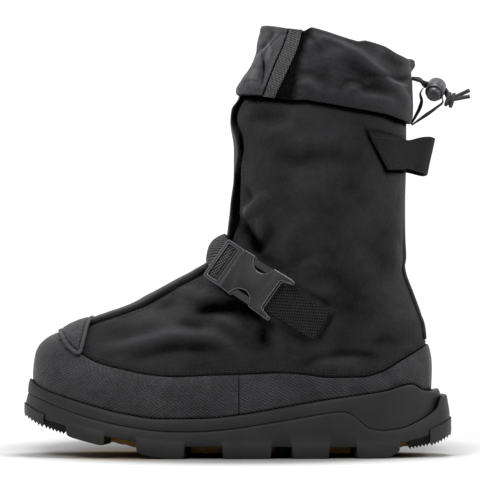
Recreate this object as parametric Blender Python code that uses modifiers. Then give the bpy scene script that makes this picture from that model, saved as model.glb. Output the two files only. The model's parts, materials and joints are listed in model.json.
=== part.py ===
"""Winter overboot for the left foot, built as an assembly of named pieces.

All sizes are millimetres and are turned into metres as each mesh is made.
The toe points to -X, the heel to +X, the outer side of the foot is -Y and the floor is z = 0.
"""

import math
from collections import namedtuple

import bmesh
import bpy
import numpy as np
from mathutils import Matrix, Vector

# Driving sizes
MM = 0.001
SOLE_LENGTH = 324.6
BALL_WIDTH = 117.0
WALL = 2.0
GAP = 0.35
HALF_SOLE = SOLE_LENGTH / 2
HALF_BALL = BALL_WIDTH / 2
WEBBING = 25.4

# Points in a ring round the boot and round the sole, even so that the two sides pair up
RING = 36
SOLE_RING = 56

# Sole sizes
CUP_DEPTH = 6.0
CUP_CLEAR = 0.7
INSOLE_THICK = 3.0
INSOLE_CLEAR = 1.2
LUG_STEP = 1.2
LUG_RISE = 4.0
LUG_TAPER = 1.2
FEATHER_LOW = 29.8
SOLE_TOP = 60.0
SOLE_BASE = 14.0
GROOVE_STEPS = 97

# Overlay sizes
RAND_THICK = 1.2
PATCH_THICK = 1.3
TAPE_THICK = 1.2
GUSSET_THICK = 2.0
CUFF_THICK = 1.4
TAB_THICK = 1.5
STRIP_THICK = 0.8
STRAP_THICK = 1.5
RAND_SEAM_X = 1.0
RAND_LOW = 25.6

# Left and right curve of the last
TOE_SWING = 8.0
SWING_START = -20.0
WAIST_X = 45.0
WAIST_SPAN = 55.0
OUTER_PINCH = 0.6
INNER_PINCH = 1.5

# The collar planes tip about this station
TILT_X = 65.0
CUFF_LOW = 266.0
UPPER_TOP = 315.5

Profile = namedtuple("Profile", "x lug web groove")
SOLE_PROFILE = [
    Profile(-163, 31.0, 36.5, 48.6),
    Profile(-150, 24.0, 30.0, 44.2),
    Profile(-134, 17.8, 25.8, 37.9),
    Profile(-112, 12.2, 19.5, 30.7),
    Profile(-85, 6.4, 14.2, 24.5),
    Profile(-58, 0.6, 10.4, 20.8),
    Profile(-50, 0.0, 9.5, 20.3),
    Profile(-34, 0.0, 9.0, 20.1),
    Profile(-9, 0.0, 9.0, 21.7),
    Profile(22, 0.0, 8.8, 26.2),
    Profile(50, 0.0, 8.6, 30.9),
    Profile(72, 0.0, 8.4, 34.4),
    Profile(79, 0.0, 8.4, 35.0),
    Profile(86, 0.0, 8.4, 32.6),
    Profile(92, 0.0, 8.5, 27.4),
    Profile(98, 0.0, 8.7, 22.7),
    Profile(108, 0.0, 9.2, 20.7),
    Profile(113, 0.5, 9.8, 21.0),
    Profile(122, 4.2, 11.4, 22.1),
    Profile(137, 7.0, 15.0, 28.0),
    Profile(147, 9.2, 18.0, 34.0),
    Profile(150.6, 10.5, 19.4, 37.8),
    Profile(154, 12.0, 20.9, 46.4),
    Profile(158, 14.0, 23.0, 46.6),
    Profile(163, 17.0, 26.0, 43.0),
]

Feather = namedtuple("Feather", "x rim seat")
FEATHER_LINE = [
    Feather(-158, 59.0, 56.2),
    Feather(-152, 53.8, 53.8),
    Feather(-128.5, 45.1, 45.1),
    Feather(-111.8, 40.1, 40.1),
    Feather(-85, 33.4, 33.4),
    Feather(-58, FEATHER_LOW, FEATHER_LOW),
    Feather(-24, 30.1, 30.1),
    Feather(3, 32.9, 32.9),
    Feather(38.5, 39.0, 39.0),
    Feather(66, 43.7, 43.7),
    Feather(87, 46.6, 46.6),
    Feather(111, 50.1, 50.1),
    Feather(131, 55.0, 53.3),
    Feather(141, 49.8, 54.0),
    Feather(152, 54.6, 54.6),
]

# One row for each section of the upper, from the sole to the collar
Section = namedtuple(
    "Section", "level follow tilt front back half widest nose heel waist"
)
UPPER_SECTIONS = [
    Section(24.1, 1.00, 0.0, -154.0, 145.5, 52.5, -52, 2.45, 3.00, 0.10),
    Section(29.8, 1.00, 0.0, -154.0, 145.5, 52.5, -52, 2.45, 3.00, 0.10),
    Section(42.0, 0.78, 0.0, -154.0, 145.5, 53.5, -50, 2.45, 3.00, 0.09),
    Section(54.0, 0.55, 0.0, -153.5, 145.5, 53.5, -45, 2.45, 3.00, 0.07),
    Section(64.0, 0.38, 0.0, -152.8, 145.3, 52.6, -38, 2.40, 2.95, 0.05),
    Section(72.0, 0.25, 0.0, -151.8, 144.6, 51.6, -28, 2.35, 2.90, 0.03),
    Section(79.0, 0.17, 0.0, -149.4, 143.4, 50.6, -17, 2.30, 2.85, 0.02),
    Section(86.0, 0.10, 0.0, -144.0, 142.5, 49.8, -5, 2.25, 2.80, 0.01),
    Section(93.0, 0.05, 0.0, -132.5, 141.9, 49.2, 8, 2.18, 2.75, 0.0),
    Section(100.0, 0.02, 0.0, -118.5, 140.8, 48.8, 18, 2.12, 2.70, 0.0),
    Section(107.0, 0.0, 0.0, -98.0, 138.6, 48.5, 27, 2.08, 2.62, 0.0),
    Section(113.5, 0.0, 0.0, -80.0, 136.4, 47.6, 34, 2.02, 2.55, 0.0),
    Section(119.5, 0.0, 0.0, -68.9, 134.1, 47.0, 40, 2.00, 2.50, 0.0),
    Section(125.6, 0.0, 0.0, -57.2, 131.8, 46.6, 45, 1.96, 2.46, 0.0),
    Section(131.7, 0.0, 0.0, -46.3, 129.4, 46.4, 49, 1.92, 2.42, 0.0),
    Section(137.8, 0.0, 0.0, -34.8, 127.3, 46.4, 52, 1.92, 2.40, 0.0),
    Section(144.0, 0.0, 0.0, -24.4, 126.3, 46.6, 55, 1.94, 2.38, 0.0),
    Section(150.0, 0.0, 0.0, -16.4, 127.4, 47.0, 57, 1.98, 2.36, 0.0),
    Section(156.0, 0.0, 0.0, -10.9, 127.6, 47.6, 59, 2.04, 2.34, 0.0),
    Section(164.0, 0.0, 0.0, -6.7, 127.6, 48.6, 60, 2.12, 2.32, 0.0),
    Section(176.0, 0.0, 0.0, -4.8, 127.6, 50.2, 61, 2.24, 2.30, 0.0),
    Section(193.0, 0.0, 0.0, -3.0, 127.6, 52.0, 61, 2.34, 2.30, 0.0),
    Section(211.0, 0.0, 0.0, -0.8, 128.0, 53.0, 62, 2.35, 2.30, 0.0),
    Section(229.0, 0.0, -0.05, -0.6, 128.2, 53.0, 62, 2.35, 2.30, 0.0),
    Section(247.0, 0.0, -0.11, -3.3, 128.4, 53.0, 63, 2.35, 2.30, 0.0),
    Section(CUFF_LOW, 0.0, -0.176, 0.4, 128.4, 52.5, 64, 2.32, 2.30, 0.0),
    Section(285.0, 0.0, -0.19, 13.0, 128.4, 51.5, 68, 2.30, 2.30, 0.0),
    Section(302.0, 0.0, -0.215, 20.8, 128.6, 50.0, 72, 2.30, 2.30, 0.0),
    Section(UPPER_TOP, 0.0, -0.235, 25.0, 128.6, 48.0, 75, 2.30, 2.30, 0.0),
    Section(330.0, 0.0, -0.235, 27.0, 128.6, 47.0, 76, 2.30, 2.30, 0.0),
]

# Outlines of the sole, from the tread up to the rim
TREAD_OUTLINE = Section(0, 0, 0, -HALF_SOLE, HALF_SOLE, HALF_BALL, -50, 2.42, 3.1, 0.13)
WEB_OUTLINE = TREAD_OUTLINE._replace(
    front=-HALF_SOLE + LUG_STEP, back=HALF_SOLE - LUG_STEP, half=HALF_BALL - LUG_STEP
)
GROOVE_OUTLINE = TREAD_OUTLINE._replace(front=-159.8, back=159.2, half=HALF_BALL - 2.2)
BAND_OUTLINE = TREAD_OUTLINE._replace(front=-159.4, back=152.4, half=HALF_BALL - 2.4)
RIM_OUTLINE = TREAD_OUTLINE._replace(front=-158.0, back=152.0, half=HALF_BALL - 3.0)

# The mesh rows of the upper's wall
WALL_LEVELS = [
    24.3, 30, 42, 54, 64, 72, 79, 86, 93, 100, 107, 113.5, 119.5, 125.6, 131.7, 137.8,
    144, 150, 156, 165, 182, 211, 240, CUFF_LOW, 285, 302, UPPER_TOP,
]

# Edge lugs on both sides, by where each begins and ends along the sole
Lug = namedtuple("Lug", "name start end depth slant")
EDGE_LUGS = [
    Lug("forefoot", -129.7, -99.0, 30, 5),
    Lug("ball", -76.7, -39.3, 33, 5),
    Lug("arch", -12.0, 26.2, 28, 0),
    Lug("waist", 40.3, 69.7, 27, -4),
    Lug("heel", 88.8, 122.8, 25, -4),
]
MiddleLug = namedtuple("MiddleLug", "start end half")
MIDDLE_LUGS = [MiddleLug(-145.6, -130.1, 28), MiddleLug(29, 38, 17), MiddleLug(129, 144.6, 24)]
TOE_LUG_END = -146.0
HEEL_LUG_START = 145.0

GripPad = namedtuple("GripPad", "name start end half floor")
GRIP_PADS = [
    GripPad("grip_pad_forefoot", -96, 20, 19, 2.6),
    GripPad("grip_pad_heel", 46, 121, 17, 2.6),
]

# Lines of the overlays as they show from the outer side
Spot = namedtuple("Spot", "x z")
RAND_TOP = [
    Spot(-109, 74), Spot(-105, 69), Spot(-87, 64.5), Spot(-69, 61.6), Spot(-47, 61),
    Spot(-18, 62.2), Spot(2, 62.8), Spot(31, 63.9), Spot(48, 62.8), Spot(69, 60.4),
    Spot(93, 60.6), Spot(107, 63.9), Spot(124, 73.3), Spot(136, 80.3), Spot(152, 90),
]
PATCH_LINE = [
    Spot(-139.5, 87.5), Spot(-132.0, 82.5), Spot(-125.0, 78.0), Spot(-119.0, 75.6),
    Spot(-117.0, 77.0), Spot(-115.6, 84.0), Spot(-113.6, 92.0), Spot(-110.5, 100.0),
    Spot(-108.5, 112.0),
]

# The toe rand's rear edge, hidden under the toe patch
UNDER_PATCH = [Spot(-112, 112), Spot(-114.5, 98), Spot(-116.4, 84), Spot(-113.0, 77.5)]
PATCH_FRONT = [Spot(-165, 112), Spot(-165, 100), Spot(-147, 93)]
TAPE_LINE = [Spot(112, 200), Spot(112, 130), Spot(128, 92.5), Spot(160, 92.5), Spot(160, 200)]
TAPE_HALF = 14.0

# Slot down the front of the upper, and the gusset that covers it
THROAT_LINE = [
    Spot(-104, 96), Spot(-60, 112), Spot(-20, 140), Spot(14, 172), Spot(16, 250), Spot(20, 340),
    Spot(-60, 340), Spot(-60, 150), Spot(-110, 118),
]
GUSSET_LINE = [
    Spot(-106.5, 94), Spot(-60, 108), Spot(-20, 132), Spot(22, 172), Spot(24, 230), Spot(24, 268),
    Spot(-60, 280), Spot(-60, 150), Spot(-110, 126),
]
SLOT_HALF = 11.0
GUSSET_HALF = 17.0

# The cuff's cloth: level and distance out from the wall, up the outside, over the top, down inside
CuffRow = namedtuple("CuffRow", "level out")
CUFF_ROWS = [
    CuffRow(CUFF_LOW, 2.6), CuffRow(272, 4.2), CuffRow(285, 4.0), CuffRow(302, 3.0),
    CuffRow(311.5, 1.9), CuffRow(317.5, 0.9), CuffRow(318.5, -1.0), CuffRow(316.5, -3.1),
    CuffRow(306, -3.1),
]

# Side lines of the front tab, its hook strip and the loop patch
CLOSURE_LEVELS = [CUFF_LOW, 272, 285, 302, 311.5, 316.5]
TAB_LINE = [Spot(-40, 274), Spot(24, 274), Spot(50, 330), Spot(50, 345), Spot(-40, 345)]
HOOK_LINE = [Spot(19.5, 276), Spot(26.5, 276.5), Spot(48.5, 322), Spot(39, 325)]
PATCH_OF_LOOPS = [Spot(28.5, 274), Spot(38.5, 272.5), Spot(52, 316), Spot(49.6, 319)]

# The instep strap runs in a plane that slopes down to the back
STRAP_SLOPE = math.radians(31.7)
STRAP_MIDDLE = Spot(9.0, 137.5)
ALONG = Vector((math.cos(STRAP_SLOPE), 0, -math.sin(STRAP_SLOPE)))
ACROSS = Vector((math.sin(STRAP_SLOPE), 0, math.cos(STRAP_SLOPE)))
STRAP_RISE = 4.8
STRAP_FAR_TURN = -0.27
STRAP_NEAR_Y = -25.5
STRAP_POINTS = 25
ANCHOR_START = 29.0
ANCHOR_END = 66.0
ANCHOR_DROP = 4.3

# Side-release buckle, in its own flat frame: length, width, height
BUCKLE_MIDDLE = Vector((10.0, -40.0, 132.4))
BUCKLE_YAW = math.radians(22)
BUCKLE_CLEAR = 0.5
BUCKLE_WIDTH = 34.5
BUCKLE_HEIGHT = 7.0
BUCKLE_LENGTH = 62.0
LATCH_LENGTH = 16.0
SOCKET_LENGTH = BUCKLE_LENGTH - LATCH_LENGTH
SCALLOP_RADIUS = 7.5
PRONG_HEIGHT = 3.0
PRONG_WIDTH = 4.6
PRONG_LENGTH = 21.0
CORE_WIDTH = 18.0

# Pull loop of webbing behind the shaft, by its upper and lower edge
LoopEdge = namedtuple("LoopEdge", "level start reach drop")
LOOP_LOW = LoopEdge(217.0, 112.5, 144.5, 0.0)
LOOP_HIGH = LoopEdge(243.0, 98.0, 150.5, 1.0)
LOOP_THICK = 1.6
LOOP_POINTS = 37
LOOP_LEAVES = 117.0
LOOP_CLEAR = 1.1

# Drawcord, cord lock and knot behind the cuff
CORD = 3.0
CORD_EXIT = Vector((132.9, 0, 286.5))
LOCK_MIDDLE = Vector((150.8, 0, 278.6))
LOCK_AXIS = Vector((-0.25, -0.78, -0.57)).normalized()
LOCK_RADIUS = 7.2
LOCK_LENGTH = 12.5
LOCK_BORE = 5.9
BUTTON_RADIUS = 5.5
BUTTON_LENGTH = 8.4
BUTTON_SHOWS = 3.6
BUTTON_TRAVEL = 3.0
KNOT_MIDDLE = Vector((161.8, 0, 270.2))
CORD_SPREAD = 2.1
TETHER_WIDTH = 8.0
TETHER_THICK = 0.9
KNOT_SIZE = (4.3, 4.4, 5.8)
TAIL_X = 176.5
TETHER_ROUTE = [
    (132.9, 0, 257.0), (136.4, 0, 258.4), (139.6, 0, 262.0), (141.3, 0, 266.8), (143.8, 0, 272.0),
]

# Materials by class: colour, roughness
Finish = namedtuple("Finish", "colour roughness")
FINISHES = {
    "rubber": Finish((0.035, 0.035, 0.037), 0.7),
    "amber rubber": Finish((0.42, 0.22, 0.03), 0.6),
    "nylon": Finish((0.022, 0.023, 0.027), 0.75),
    "rand": Finish((0.045, 0.046, 0.05), 0.6),
    "webbing": Finish((0.03, 0.028, 0.026), 0.85),
    "plastic": Finish((0.045, 0.047, 0.05), 0.45),
    "cord": Finish((0.03, 0.03, 0.03), 0.8),
    "board": Finish((0.06, 0.06, 0.06), 0.9),
}


def smooth(keys, values):
    """Return a smooth curve through table values that never overshoots them."""
    keys = np.array(keys, float)
    values = np.array(values, float)
    steps = np.diff(keys)
    slopes = np.diff(values) / steps
    tangents = np.zeros_like(values)
    tangents[0], tangents[-1] = slopes[0], slopes[-1]
    for i in range(1, len(keys) - 1):
        if slopes[i - 1] * slopes[i] > 0:
            before = 2 * steps[i] + steps[i - 1]
            after = steps[i] + 2 * steps[i - 1]
            tangents[i] = (before + after) / (before / slopes[i - 1] + after / slopes[i])

    def curve(at):
        at = np.asarray(at, float)
        i = np.clip(np.searchsorted(keys, at, side="right") - 1, 0, len(steps) - 1)
        t = np.clip((at - keys[i]) / steps[i], 0, 1)
        return (
            (1 + 2 * t) * (1 - t) ** 2 * values[i]
            + t * (1 - t) ** 2 * steps[i] * tangents[i]
            + t * t * (3 - 2 * t) * values[i + 1]
            + t * t * (t - 1) * steps[i] * tangents[i + 1]
        )

    return curve


def columns(rows, key):
    """Turn a table into one smooth curve for each named column."""
    keys = [getattr(row, key) for row in rows]
    names = [name for name in rows[0]._fields if name != key]
    return {name: smooth(keys, [getattr(row, name) for row in rows]) for name in names}


SOLE = columns(SOLE_PROFILE, "x")
FEATHER = columns(FEATHER_LINE, "x")
UPPER = columns(UPPER_SECTIONS, "level")
RAND_LINE = columns(RAND_TOP, "x")["z"]
CUFF_OUT = smooth([row.level for row in CUFF_ROWS[:6]], [row.out for row in CUFF_ROWS[:6]])


def toe_swing(x):
    """Sideways curve of the last, toward the inner side at the toe."""
    return TOE_SWING * (np.clip(SWING_START - x, 0, None) / (HALF_SOLE + SWING_START)) ** 2


def outline(shape, turn):
    """Plan outline of one section: turn 0 is the toe, a quarter is the outer side, a half the heel."""
    angle = 2 * math.pi * np.asarray(turn, float)
    along, across = np.cos(angle), np.sin(angle)
    ahead = along >= 0
    power = np.where(ahead, 2 / shape.nose, 2 / shape.heel)
    reach = np.where(ahead, shape.widest - shape.front, shape.back - shape.widest)
    x = shape.widest - np.sign(along) * reach * np.abs(along) ** power
    half = shape.half * np.abs(across) ** power
    outer = across >= 0
    arch = np.exp(-(((x - WAIST_X) / WAIST_SPAN) ** 2))
    pinch = shape.waist * np.where(outer, OUTER_PINCH, INNER_PINCH)
    y = np.where(outer, -1, 1) * half * (1 - pinch * arch) + toe_swing(x)
    return x, y


def section_at(level):
    """Section of the upper at any level, from the table's smooth columns."""
    values = {name: curve(level) for name, curve in UPPER.items()}
    return Section(level=np.asarray(level, float), **values)


def wall_point(turn, level):
    """Point on the outer face of the upper's wall."""
    shape = section_at(level)
    x, y = outline(shape, turn)
    z = shape.level + shape.follow * (FEATHER["seat"](x) - FEATHER_LOW)
    z = z + shape.tilt * (x - TILT_X)
    return np.stack(np.broadcast_arrays(x, y, z), axis=-1)


def wall(turn, level, out=0.0):
    """Point at a distance out from the upper's wall, along its own normal."""
    turn = np.asarray(turn, float)
    level = np.asarray(level, float)
    round_step, up_step = 0.002, 0.4
    sideways = wall_point(turn + round_step, level) - wall_point(turn - round_step, level)
    upward = wall_point(turn, level + up_step) - wall_point(turn, level - up_step)
    normal = np.cross(sideways, upward)
    normal = normal / np.linalg.norm(normal, axis=-1, keepdims=True)
    return wall_point(turn, level) + normal * np.asarray(out, float)[..., None]


def wall_ring(level, out):
    """One ring of points round the upper, starting at the toe."""
    turns = np.arange(RING) / RING
    return wall(turns, np.full(RING, float(level)), np.full(RING, float(out)))


def sole_ring(shape, height, inset=0.0):
    """One ring of points round the sole, at a height worked out from x."""
    turns = np.arange(SOLE_RING) / SOLE_RING
    x, y = outline(shape, turns)
    ahead_x, ahead_y = outline(shape, turns + 0.002)
    behind_x, behind_y = outline(shape, turns - 0.002)
    run = np.hypot(ahead_x - behind_x, ahead_y - behind_y)
    x = x - inset * (ahead_y - behind_y) / run
    y = y + inset * (ahead_x - behind_x) / run
    return np.stack([x, y, height(x)], axis=-1)


def clear_scene():
    """Start from an empty file."""
    for item in list(bpy.data.objects):
        bpy.data.objects.remove(item, do_unlink=True)


def make_collection(name):
    """Make a collection in the scene."""
    made = bpy.data.collections.new(name)
    bpy.context.scene.collection.children.link(made)
    return made


def make_finish(name):
    """Principled material for one class of stuff."""
    finish = FINISHES[name]
    material = bpy.data.materials.new(name)
    material.use_nodes = True
    shader = material.node_tree.nodes["Principled BSDF"]
    shader.inputs["Base Color"].default_value = (*finish.colour, 1)
    shader.inputs["Roughness"].default_value = finish.roughness
    return material


def add_mesh(name, points, faces, finish, collection=None):
    """Add one mesh object, its points given in millimetres."""
    mesh = bpy.data.meshes.new(name)
    mesh.from_pydata([tuple(point) for point in np.asarray(points) * MM], [], faces)
    mesh.update()
    made = bpy.data.objects.new(name, mesh)
    (collection or PARTS).objects.link(made)
    if finish:
        mesh.materials.append(MATERIALS[finish])
    return made


def ring_faces(first, count, size):
    """Quads between rings that follow each other."""
    faces = []
    for row in range(count - 1):
        low = first + row * size
        high = low + size
        for k in range(size):
            n = (k + 1) % size
            faces.append((low + k, low + n, high + n, high + k))
    return faces


def cap_faces(first, size, upward):
    """Strips across a ring, from the toe to the heel."""
    faces = []
    for k in range(size // 2):
        corners = [k, k + 1, size - k - 1, size - k]
        if k == 0:
            corners = corners[:3]
        if k == size // 2 - 1:
            corners = [k, k + 1, size - k]
        corners = [first + corner for corner in corners]
        faces.append(tuple(corners if upward else reversed(corners)))
    return faces


def stacked_solid(name, rings, finish):
    """Closed solid through rings that begin and end with a cap."""
    size = len(rings[0])
    faces = cap_faces(0, size, False)
    faces += ring_faces(0, len(rings), size)
    faces += cap_faces((len(rings) - 1) * size, size, True)
    return add_mesh(name, np.concatenate(rings), faces, finish)


def wall_shell(name, rows, finish, thick, side):
    """Shell of even thickness round the boot; rows give the level and the distance out."""
    rings = [wall_ring(level, out) for level, out in rows]
    shell = add_mesh(name, np.concatenate(rings), ring_faces(0, len(rings), RING), finish)
    solid = shell.modifiers.new("thickness", "SOLIDIFY")
    solid.thickness = thick * MM
    solid.offset = side
    solid.use_even_offset = True
    solid.use_quality_normals = True
    return shell


def prism(name, corners, axis, low, high):
    """Cutter with an outline in two axes, drawn out along the third."""
    mesh = bmesh.new()
    near = []
    for a, b in corners:
        spot = (a, low, b) if axis == "y" else (a, b, low)
        near.append(mesh.verts.new(Vector(spot) * MM))
    face = mesh.faces.new(near)
    moved = bmesh.ops.extrude_face_region(mesh, geom=[face])
    shift = Vector((0, high - low, 0)) if axis == "y" else Vector((0, 0, high - low))
    fresh = [item for item in moved["geom"] if isinstance(item, bmesh.types.BMVert)]
    bmesh.ops.translate(mesh, verts=fresh, vec=shift * MM)
    bmesh.ops.recalc_face_normals(mesh, faces=mesh.faces)
    data = bpy.data.meshes.new(name)
    mesh.to_mesh(data)
    mesh.free()
    return hide_cutter(bpy.data.objects.new(name, data))


def hide_cutter(cutter):
    """Keep a cutter out of the part."""
    CUTTERS.objects.link(cutter)
    cutter.hide_render = True
    cutter.display_type = "WIRE"
    return cutter


def cut(target, cutter, operation):
    """Cut or join with an exact Boolean."""
    modifier = target.modifiers.new(operation.lower(), "BOOLEAN")
    modifier.operation = operation
    modifier.solver = "EXACT"
    modifier.object = cutter
    return target


def side_at(shape, x, outer):
    """Point of a plan outline at station x on one side."""
    turns = np.linspace(0.0, 0.5, 721)
    if not outer:
        turns = 1 - turns
    line_x, line_y = outline(shape, turns)
    return float(np.interp(x, line_x, line_y))


def lug_block(corners):
    """Points and faces of one lug, from its plan corners in order; the foot is a little smaller."""
    corners = np.array(corners, float)
    middle = corners.mean(axis=0)
    away = corners - middle
    shrink = np.clip(1 - LUG_TAPER / np.maximum(np.abs(away[:, :1]), 4), 0.6, 1)
    foot = middle + away * np.concatenate([shrink, np.ones_like(shrink)], axis=1)
    low = np.column_stack([foot, SOLE["lug"](foot[:, 0])])
    high = np.column_stack([corners, SOLE["web"](corners[:, 0]) + LUG_RISE])
    size = len(corners)
    faces = [(k, (k + 1) % size, size + (k + 1) % size, size + k) for k in range(size)]
    pairs = size // 2
    for k in range(pairs - 1):
        strip = (k, k + 1, size - k - 2, size - k - 1)
        faces.append(tuple(reversed(strip)))
        faces.append(tuple(size + corner for corner in strip))
    return np.concatenate([low, high]), faces


def edge_lug(lug, outer):
    """Plan corners of a lug on one edge of the sole: out along the edge, back along the inner end."""
    stations = np.linspace(lug.start, lug.end, 5)
    side = -1 if outer else 1
    edge = [(x, side_at(TREAD_OUTLINE, x, outer)) for x in stations]
    inner = [(x + lug.slant, y - side * lug.depth) for x, y in edge]
    return edge + inner[::-1] if outer else inner + edge[::-1]


def end_lug(inner_x, tip):
    """Plan corners of the lug that wraps the toe or the heel."""
    turns = np.linspace(0, 0.5, 721)
    line_x, _ = outline(TREAD_OUTLINE, turns)
    share = float(np.interp(inner_x, line_x, turns))
    start = 0.0 if tip < 0 else 0.5
    reach = np.linspace(share, start + (0.012 if tip < 0 else -0.012), 6)
    x, y = outline(TREAD_OUTLINE, reach)
    other_x, other_y = outline(TREAD_OUTLINE, 1 - reach)
    outer_side = list(zip(x, y))
    inner_side = list(zip(other_x, other_y))
    if tip < 0:
        return outer_side[::-1] + inner_side
    return outer_side + inner_side[::-1]


def middle_lug(lug):
    """Plan corners of a lug in the middle of the sole."""
    centre = float(toe_swing((lug.start + lug.end) / 2))
    low, high = centre - lug.half, centre + lug.half
    return [(lug.start, low), (lug.end, low), (lug.end, high), (lug.start, high)]


def groove_line(lift, far_z):
    """Side line along the groove between outsole and midsole, closed above or below it."""
    stations = np.linspace(-HALF_SOLE - 4, HALF_SOLE + 4, GROOVE_STEPS)
    line = [Spot(x, float(SOLE["groove"](x)) + lift) for x in stations]
    return line + [Spot(line[-1].x, far_z), Spot(line[0].x, far_z)]


def build_outsole():
    """Rubber outsole: a rockered slab with lugs joined under it."""
    rings = [
        sole_ring(WEB_OUTLINE, SOLE["web"]),
        sole_ring(GROOVE_OUTLINE, lambda x: np.full_like(x, SOLE_TOP)),
    ]
    slab = stacked_solid("outsole", rings, "rubber")
    cut(slab, prism("outsole_cutter", groove_line(-GAP, SOLE_TOP + 5), "y", -90, 90), "DIFFERENCE")
    shapes = [edge_lug(lug, outer) for lug in EDGE_LUGS for outer in (True, False)]
    shapes += [end_lug(TOE_LUG_END, -1), end_lug(HEEL_LUG_START, 1)]
    shapes += [middle_lug(lug) for lug in MIDDLE_LUGS]
    points, faces = [], []
    for shape in shapes:
        block_points, block_faces = lug_block(shape)
        first = sum(len(group) for group in points)
        points.append(block_points)
        faces += [tuple(first + corner for corner in face) for face in block_faces]
    lugs = add_mesh("lug_set", np.concatenate(points), faces, None, CUTTERS)
    lugs.hide_render = True
    lugs.display_type = "WIRE"
    face_outward(lugs)
    return cut(slab, lugs, "UNION")


def face_outward(target):
    """Turn every face of a mesh outward."""
    mesh = bmesh.new()
    mesh.from_mesh(target.data)
    bmesh.ops.recalc_face_normals(mesh, faces=mesh.faces)
    mesh.to_mesh(target.data)
    mesh.free()


def build_midsole():
    """Raised band over the outsole, with a shallow cup that takes the upper."""
    cup = section_at(FEATHER_LOW)
    reach = -(RAND_THICK + GAP + CUP_CLEAR)
    rings = [
        sole_ring(BAND_OUTLINE, lambda x: np.full_like(x, SOLE_BASE)),
        sole_ring(RIM_OUTLINE, FEATHER["rim"]),
        sole_ring(cup, FEATHER["rim"], reach),
        sole_ring(cup, lambda x: FEATHER["seat"](x) - CUP_DEPTH, reach),
    ]
    band = stacked_solid("midsole", rings, "rubber")
    return cut(band, prism("midsole_cutter", groove_line(0, SOLE_BASE - 5), "y", -90, 90), "DIFFERENCE")


def build_insole():
    """Thin board inside the upper, lying on the cup's floor."""
    cup = section_at(FEATHER_LOW)
    inset = WALL + INSOLE_CLEAR
    lift = GAP - CUP_DEPTH
    rings = [
        sole_ring(cup, lambda x: FEATHER["seat"](x) + lift, inset),
        sole_ring(cup, lambda x: FEATHER["seat"](x) + lift + INSOLE_THICK, inset),
    ]
    return stacked_solid("insole", rings, "board")


def build_grip_pads():
    """Amber pads between the edge lugs, a little clear of the floor."""
    for pad in GRIP_PADS:
        stations = np.linspace(pad.start, pad.end, 9)
        centre = toe_swing(stations)
        top = SOLE["web"](stations) - GAP
        low = SOLE["lug"](stations) + pad.floor
        points = []
        for x, y, z_low, z_top in zip(stations, centre, low, top):
            for side, z in ((-1, z_low), (1, z_low), (1, z_top), (-1, z_top)):
                points.append((x, y + side * pad.half, z))
        faces = ring_faces(0, len(stations), 4)
        last = 4 * (len(stations) - 1)
        faces += [(3, 2, 1, 0), (last, last + 1, last + 2, last + 3)]
        face_outward(add_mesh(pad.name, points, faces, "amber rubber"))


def front_strip(name, line, half_width):
    """Cutter along the front of the boot, between two side lines."""
    return prism(name, line, "y", -half_width, half_width)


def build_upper():
    """One hollow wall from the sole to the collar, open at both ends and along the throat."""
    rows = [(level, 0.0) for level in WALL_LEVELS]
    shell = wall_shell("upper", rows, "nylon", WALL, -1)
    slot = front_strip("throat_cutter", THROAT_LINE, SLOT_HALF)
    return cut(shell, slot, "DIFFERENCE")


def build_gusset():
    """Folded strip that closes the throat in front of the panel edges."""
    levels = [level for level in WALL_LEVELS if 93 <= level <= 285]
    shell = wall_shell("gusset", [(level, GAP) for level in levels], "nylon", GUSSET_THICK, 1)
    return cut(shell, front_strip("gusset_cutter", GUSSET_LINE, GUSSET_HALF), "INTERSECT")


def build_rands():
    """Textured band round the foot, in a toe half and a heel half."""
    low = SOLE_BASE
    top = [Spot(x, float(RAND_LINE(x))) for x in np.linspace(-104, 152, 24)]
    toe_line = [Spot(-175, low), Spot(-175, 112)] + UNDER_PATCH
    toe_line += [spot for spot in top if spot.x < RAND_SEAM_X - 4]
    toe_line += [Spot(RAND_SEAM_X - GAP / 2, float(RAND_LINE(RAND_SEAM_X)))]
    toe_line += [Spot(RAND_SEAM_X - GAP / 2, low)]
    heel_line = [Spot(RAND_SEAM_X + GAP / 2, low)]
    heel_line += [Spot(RAND_SEAM_X + GAP / 2, float(RAND_LINE(RAND_SEAM_X)))]
    heel_line += [spot for spot in top if spot.x > RAND_SEAM_X + 4]
    heel_line += [Spot(170, 96), Spot(170, low)]
    toe_levels = [RAND_LOW] + [level for level in WALL_LEVELS if RAND_LOW < level < 108]
    heel_levels = [level for level in toe_levels if level < 94]
    for name, line, levels in (
        ("toe_rand", toe_line, toe_levels),
        ("heel_rand", heel_line, heel_levels),
    ):
        shell = wall_shell(name, [(level, GAP) for level in levels], "rand", RAND_THICK, 1)
        cut(shell, prism(name + "_cutter", line, "y", -90, 90), "INTERSECT")


def build_toe_patch():
    """Leaf-shaped patch over the top of the toe, on the toe rand."""
    levels = [level for level in WALL_LEVELS if 50 < level < 115]
    out = 2 * GAP + RAND_THICK
    shell = wall_shell("toe_patch", [(level, out) for level in levels], "rand", PATCH_THICK, 1)
    line = PATCH_FRONT + PATCH_LINE
    return cut(shell, prism("patch_cutter", line, "y", -80, 80), "INTERSECT")


def build_back_tape():
    """Raised tape up the back of the heel."""
    levels = [level for level in WALL_LEVELS if 72 <= level <= 211]
    shell = wall_shell("back_tape", [(level, GAP) for level in levels], "nylon", TAPE_THICK, 1)
    return cut(shell, prism("tape_cutter", TAPE_LINE, "y", -TAPE_HALF, TAPE_HALF), "INTERSECT")


def build_cuff():
    """Puffed band round the collar, turned over the upper's top edge."""
    return wall_shell("cuff", CUFF_ROWS, "nylon", CUFF_THICK, 0)


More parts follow.
